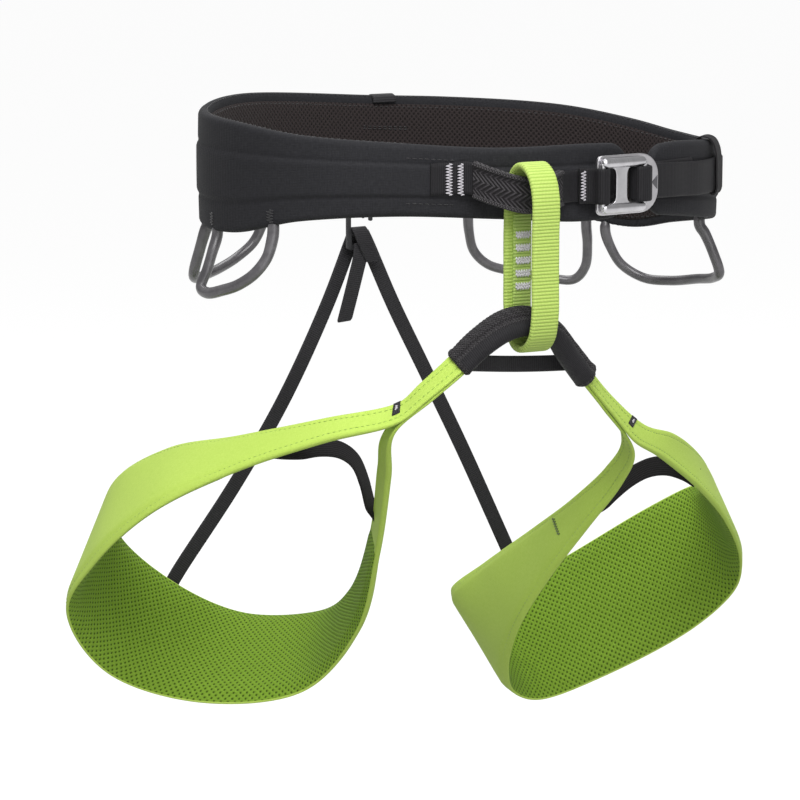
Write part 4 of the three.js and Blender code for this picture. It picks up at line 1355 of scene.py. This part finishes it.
def leg_elastic(side):
    """The elastic that draws both branches of a leg loop together."""
    route = spline(ELASTIC_LIE[side], 200)
    share = np.linspace(0, 1, len(route))[:, None]
    first, last = (unit(np.array(v, float)) for v in ELASTIC_LEAN[side])
    across = unit(first * (1 - share) + last * share)
    narrowing = 0.8 * smoothstep(share, 0.86, 1.0) * (side == "right")
    width = 3.0 + 9.0 * smoothstep(share, 0, 0.3) * (1 - narrowing)
    low, high = evenly([route - across * width / 2, route + across * width / 2], 0.7)
    band(f"leg_{side}_elastic_strap", low, high, flat_outline(1.3), LEG_BODY[side], ELASTIC, "elastic",
         relief=ribs(pitch=1.6, height=0.1), replaces=(f"leg_{side}_elastic",))


for leg_side in ("right", "left"):
    leg_loop(leg_side)
    leg_label(leg_side)
    leg_elastic(leg_side)
    leg_bar_tack(leg_side)

# ---------------- risers, hook and cord

RISER_WIDTH = 9.5
RISER_RIBS = ribs(pitch=1.1, height=0.09)
RISER_TAIL_WIDTH = 10.4
RISER_TAIL_SPACING = 0.6
RISER_WRAP_WIDTH = 10.6
HOOK_THICKNESS = 2.4
HOOK_TOP = -34
CORD_RADIUS = 1.0


def riser(side):
    """One rear strap from the hook to its leg loop, with two bar tacks at its lower end."""
    middle = evenly([spline(RISER_ROUTES[side], 300)], 0.8)[0]
    across = np.cross(np.gradient(middle, axis=0), (0, 1.0, 0))
    low, high = rows_of(middle, across, RISER_WIDTH)
    strap = band(f"riser_{side}_strap", low, high, flat_outline(1.5), None, BLACK_WEBBING, "elastic",
                 relief=RISER_RIBS, replaces=(f"riser_{side}",))
    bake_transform(strap)
    along = unit(middle[-1] - middle[-4])
    sideways = unit(high[-6] - low[-6])
    outwards = np.cross(along, sideways)
    outwards = outwards * np.sign(outwards[1])
    tacks = [
        zigzag(middle[k] + outwards * 0.95, sideways, along, outwards,
               length=7.5, width=2.4, turns=12, radius=0.28)
        for k in (-6, -12)
    ]
    joined_piece(f"riser_{side}_tacks", tacks, f"riser_{side}", BLACK_THREAD)


def riser_tail():
    middle = evenly([spline(RISER_TAIL_ROUTE, 200)], RISER_TAIL_SPACING)[0]
    at = np.arange(len(middle)) * RISER_TAIL_SPACING
    width = (RISER_TAIL_WIDTH - 3.0 * (1 - smoothstep(at, -1.5, 1.8)))[:, None]
    low, high = rows_of(middle, (1, 0, 0.08), width)
    band("riser_tail_strap", low, high, flat_outline(1.2), "riser_hook", BLACK_WEBBING, "elastic",
         relief=RISER_RIBS, replaces=("riser_tail",))


def riser_wrap():
    """The turn of webbing over the hook's bar, from which both risers hang."""
    webbing("riser_wrap_strap", RISER_WRAP_ROUTE, steps=200, spacing=0.5, across=(1, 0, 0.02),
            width=RISER_WRAP_WIDTH, outline=flat_outline(1.5), body="riser_hook",
            material=BLACK_WEBBING, slot="elastic", relief=RISER_RIBS)


def plate(name, outline, holes, depth, bevel, place, body, material, replaces=()):
    """A flat plate with holes and rounded edges. place turns its [across, up, out] into the frame."""
    curve = bpy.data.curves.new(name, "CURVE")
    curve.dimensions = "2D"
    curve.fill_mode = "BOTH"
    curve.extrude = depth / 2 - bevel
    curve.bevel_depth = bevel
    curve.bevel_resolution = 3
    curve.offset = -bevel
    for ring in [outline, *holes]:
        path = curve.splines.new("POLY")
        path.points.add(len(ring) - 1)
        for point, (x, y) in zip(path.points, ring):
            point.co = (x, y, 0, 1)
        path.use_cyclic_u = True
    item = bpy.data.objects.new(name, curve)
    bpy.context.collection.objects.link(item)
    graph = bpy.context.evaluated_depsgraph_get()
    mesh = bpy.data.meshes.new_from_object(item.evaluated_get(graph))
    bpy.data.objects.remove(item)
    bpy.data.curves.remove(curve)
    points = np.array([v.co for v in mesh.vertices])
    faces = [tuple(p.vertices) for p in mesh.polygons]
    bpy.data.meshes.remove(mesh)
    made = new_piece(name, place(points), faces, None, body, material, replaces)
    made.data.set_sharp_from_angle(angle=math.radians(35))


def rounded(points, radius):
    """An outline with its corners rounded off."""
    points = np.array(points, float)
    out = []
    for i, p in enumerate(points):
        before, after = points[i - 1] - p, points[(i + 1) % len(points)] - p
        reach = min(radius, np.linalg.norm(before) * 0.45, np.linalg.norm(after) * 0.45)
        a, b = p + unit(before) * reach, p + unit(after) * reach
        for s in np.linspace(0, 1, 5):
            out.append((1 - s) ** 2 * a + 2 * s * (1 - s) * p + s * s * b)
    return out


def hook():
    """The plastic hook below the back of the belt, and the cord loop that it hangs from."""
    shape = [
        [-11.5, -24], [2.6, -24], [2.6, -12.6], [-8.6, -12.6], [-8.6, -2.5], [4, -2.5], [4, -7], [6.4, -7],
        [6.4, 0], [-11.5, 0],
    ]
    opening = [[-8, -21.5], [-8, -15], [0.2, -15], [0.2, -21.5]]

    def place(p):
        return np.stack([p[:, 0] + HOOK_X, HOOK_Y - p[:, 2], p[:, 1] + HOOK_TOP], axis=1)

    plate("riser_hook_plate", rounded(shape, radius=1.6), [rounded(opening, radius=1.0)],
          depth=HOOK_THICKNESS, bevel=0.5, place=place, body="riser_hook", material=HOOK_PLASTIC,
          replaces=("riser_hook",))
    route = [
        [-2.6, -30.8], [-2.7, -34.4], [-2.2, -37], [0, -38.2], [2.2, -37], [2.7, -34.4],
        [2.6, -30.8],
    ]
    cord = tube_mesh(spline([[HOOK_X, HOOK_Y + y, z] for y, z in route], 60), CORD_RADIUS)
    joined_piece("hook_cord", [cord], "waist_belt", BLACK_THREAD, ("hook_cord_loop",))


riser("right")
riser("left")
riser_tail()
riser_wrap()
hook()

# ---------------- gear loops and haul loop


def gear_loop(name):
    """A moulded tube, slimmer where it is tucked into the belt."""
    route = np.array(GEAR_LOOP_ROUTES[name], float)
    tucked = [[route[k][0], 0, route[k][2] + GEAR_TUCK] for k in (0, -1)]
    route = np.vstack([tucked[0], route, tucked[1]])
    path = evenly([spline(beside_belt(route[:, 0], route[:, 1], route[:, 2]), 300)], 0.9)[0]
    at = distance_along(path)
    end = np.minimum(at, at[-1] - at)
    radius = GEAR_RADIUS + 0.25 * (1 - smoothstep(end, 12, 24)) - 1.3 * (1 - smoothstep(end, 1, 6))
    made = joined_piece(f"{name}_tube", [tube_mesh(path, radius, sides=20, flat=0.9)], None,
                        GEAR_PLASTIC, (name,))
    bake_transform(made)


for loop_name in GEAR_LOOP_ROUTES:
    gear_loop(loop_name)


def haul_loop():
    """The loop of webbing at the back of the belt."""
    route = np.array(HAUL_ROUTE, float)
    route[:, 1] -= np.clip(route[:, 1] - 30, 0, None) * 0.35
    points = beside_belt(np.full(len(route), HAUL_ANGLE), route[:, 0], route[:, 1])
    webbing("haul_strap", points, steps=200, spacing=0.6, across=SIDEWAYS, width=HAUL_WIDTH,
            outline=flat_outline(1.6), body="waist_belt", material=BLACK_WEBBING, slot="black_webbing",
            relief=ribs(pitch=1.3, height=0.12), replaces=("haul_loop",))


haul_loop()

# ---------------- buckle and its webbings

BUCKLE_WEBBING = 20
RAIL_HEIGHT = 12.7
RAIL_START = -20.2
RAIL_END = 10.6


def buckle_place(depth):
    """Turns plate points into the frame, with the plate's middle at a distance out from the belt."""
    return lambda p: at_buckle(p[:, 0] - 1.0, depth + p[:, 2], p[:, 1])


def arc(x, y, radius, first):
    """A quarter circle from a first angle in degrees."""
    turns = np.radians(np.linspace(first, first + 90, 9))
    return [[x + radius * math.cos(t), y + radius * math.sin(t)] for t in turns]


def box_outline(left, right, half, left_radius, right_radius):
    """A rectangle with one radius at its left corners and one at its right."""
    return (
        arc(right - right_radius, -half + right_radius, right_radius, -90)
        + arc(right - right_radius, half - right_radius, right_radius, 0)
        + arc(left + left_radius, half - left_radius, left_radius, 90)
        + arc(left + left_radius, -half + left_radius, left_radius, 180)
    )


def buckle():
    """The frame, the centre bar, the rails that carry it and the recess at the frame's round end, whose bevel
    is a darker plate of painted shade.
    """
    outside = box_outline(left=-22, right=21.5, half=16.8, left_radius=4, right_radius=12.5)
    opening = box_outline(left=-18.5, right=15, half=10.2, left_radius=1.5, right_radius=1.5)
    plate("buckle_d_frame", outside, [opening], depth=2.2, bevel=0.45, place=buckle_place(1.1),
          body="buckle", material=FRAME_METAL, replaces=("buckle_frame",))
    lower_half = [
        [-10.6, -6.8], [-11.6, -9.4], [-14.6, -10.4], [-14.6, -12.8], [1.4, -12.8], [1.4, -10.4],
        [-1.7, -9.4], [-2.7, -6.8],
    ]
    centre_bar = rounded(lower_half + [[x, -z] for x, z in lower_half[::-1]], radius=1.6)
    plate("buckle_centre_bar", centre_bar, [], depth=2.3, bevel=0.5, place=buckle_place(3.75),
          body="buckle", material=SLIDER_METAL, replaces=("buckle_slider",))
    parts = []
    for height in (RAIL_HEIGHT, -RAIL_HEIGHT):
        x = np.linspace(RAIL_START, RAIL_END, 60)
        end = np.minimum(x + 20.6, 11.0 - x)
        size = 2.5 * np.clip(end / 2.4, 0.05, 1) ** 0.4
        out = 3.9 + 0.25 * np.sin((x + 22) / 34 * np.pi)
        route = at_buckle(x - 1.0, out, np.full_like(x, height))
        parts.append(tube_mesh(route, size, sides=20, flat=1.12, start=UP))
    for along, radius in ((-20.3, 1.5), (8.8, 1.9)):
        z = np.linspace(-12.6, 12.6, 30)
        route = at_buckle(np.full_like(z, along), np.full_like(z, 3.7), z)
        parts.append(tube_mesh(route, radius, sides=14, start=(1, 0, 0)))
    joined_piece("buckle_rails", parts, "buckle", SLIDER_METAL)
    # painted shade: a thin dark plate stands for the shaded bevel of the recess
    recess = rounded([[20.9, -4.4], [20.9, 4.4], [17.8, 1.2], [16.8, 0], [17.8, -1.2]], radius=0.8)
    plate("buckle_bevel", recess, [], depth=0.6, bevel=0.2, place=buckle_place(2.1), body="buckle",
          material=RECESS_SHADE_METAL)


def buckle_strap(name, points, body, replaces):
    return webbing(name, points, steps=400, spacing=0.5, across=UP, width=BUCKLE_WEBBING,
                   outline=flat_outline(1.5, columns=14), body=body, material=BELT_STRAP,
                   slot="black_webbing", relief=ribs(pitch=1.15, height=0.13), replaces=replaces)


def buckle_webbings():
    """The anchor's turn round the buckle, and the adjuster from its sewn end round the bar to its tail."""
    anchor, sewn, turn, tail = (
        np.array(route, float).T for route in (ANCHOR_ROUTE, ADJUSTER_SEWN_END, ADJUSTER_TURN, ADJUSTER_TAIL)
    )
    buckle_strap("anchor_strap", at_buckle(*anchor, 0 * anchor[0]), "waist_belt", ("buckle_anchor_webbing",))
    points = np.vstack([beside_belt(*sewn), at_buckle(*turn, 0 * turn[0]), beside_belt(*tail)])
    strap = buckle_strap("adjuster_strap", points, None,
                         ("adjuster_turn_webbing", "adjuster_load_webbing", "adjuster_tail_webbing"))
    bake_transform(strap)


def tail_keeper():
    """The elastic strip that holds the end of the adjuster webbing and turns over the belt's upper edge."""
    route = np.array(KEEPER_ROUTE, float)
    points = beside_belt(np.full(len(route), KEEPER_ANGLE), route[:, 0], route[:, 1])
    along_belt = np.cross(belt_normal(KEEPER_ANGLE), UP)
    webbing("keeper_band", points, steps=200, spacing=0.5, across=along_belt, width=KEEPER_WIDTH,
            outline=flat_outline(0.9), body="tail_keeper", material=ELASTIC, slot="elastic",
            replaces=("tail_keeper",))


def white_tacks():
    """White zigzag bar tacks at both ends of the tie-in strap."""
    parts = []
    for angle, out in ((245.3, 5.9), (247.6, 7.4)):
        centre = beside_belt(angle, out, 9.6)
        normal = belt_normal(angle)
        parts.append(zigzag(centre, UP, np.cross(UP, normal), normal,
                            length=17.5, width=3.8, turns=21, radius=SEAM_THREAD))
    along = at_buckle(1, 0, 0) - at_buckle(0, 0, 0)
    outwards = at_buckle(0, 1, 0) - at_buckle(0, 0, 0)
    parts.append(zigzag(at_buckle(-28.6, -3.2, 0.2), UP, along, outwards,
                        length=16.5, width=3.8, turns=19, radius=SEAM_THREAD))
    joined_piece("tie_in_bar_tacks", parts, "waist_belt", WHITE_THREAD)


buckle()
buckle_webbings()
tail_keeper()
white_tacks()
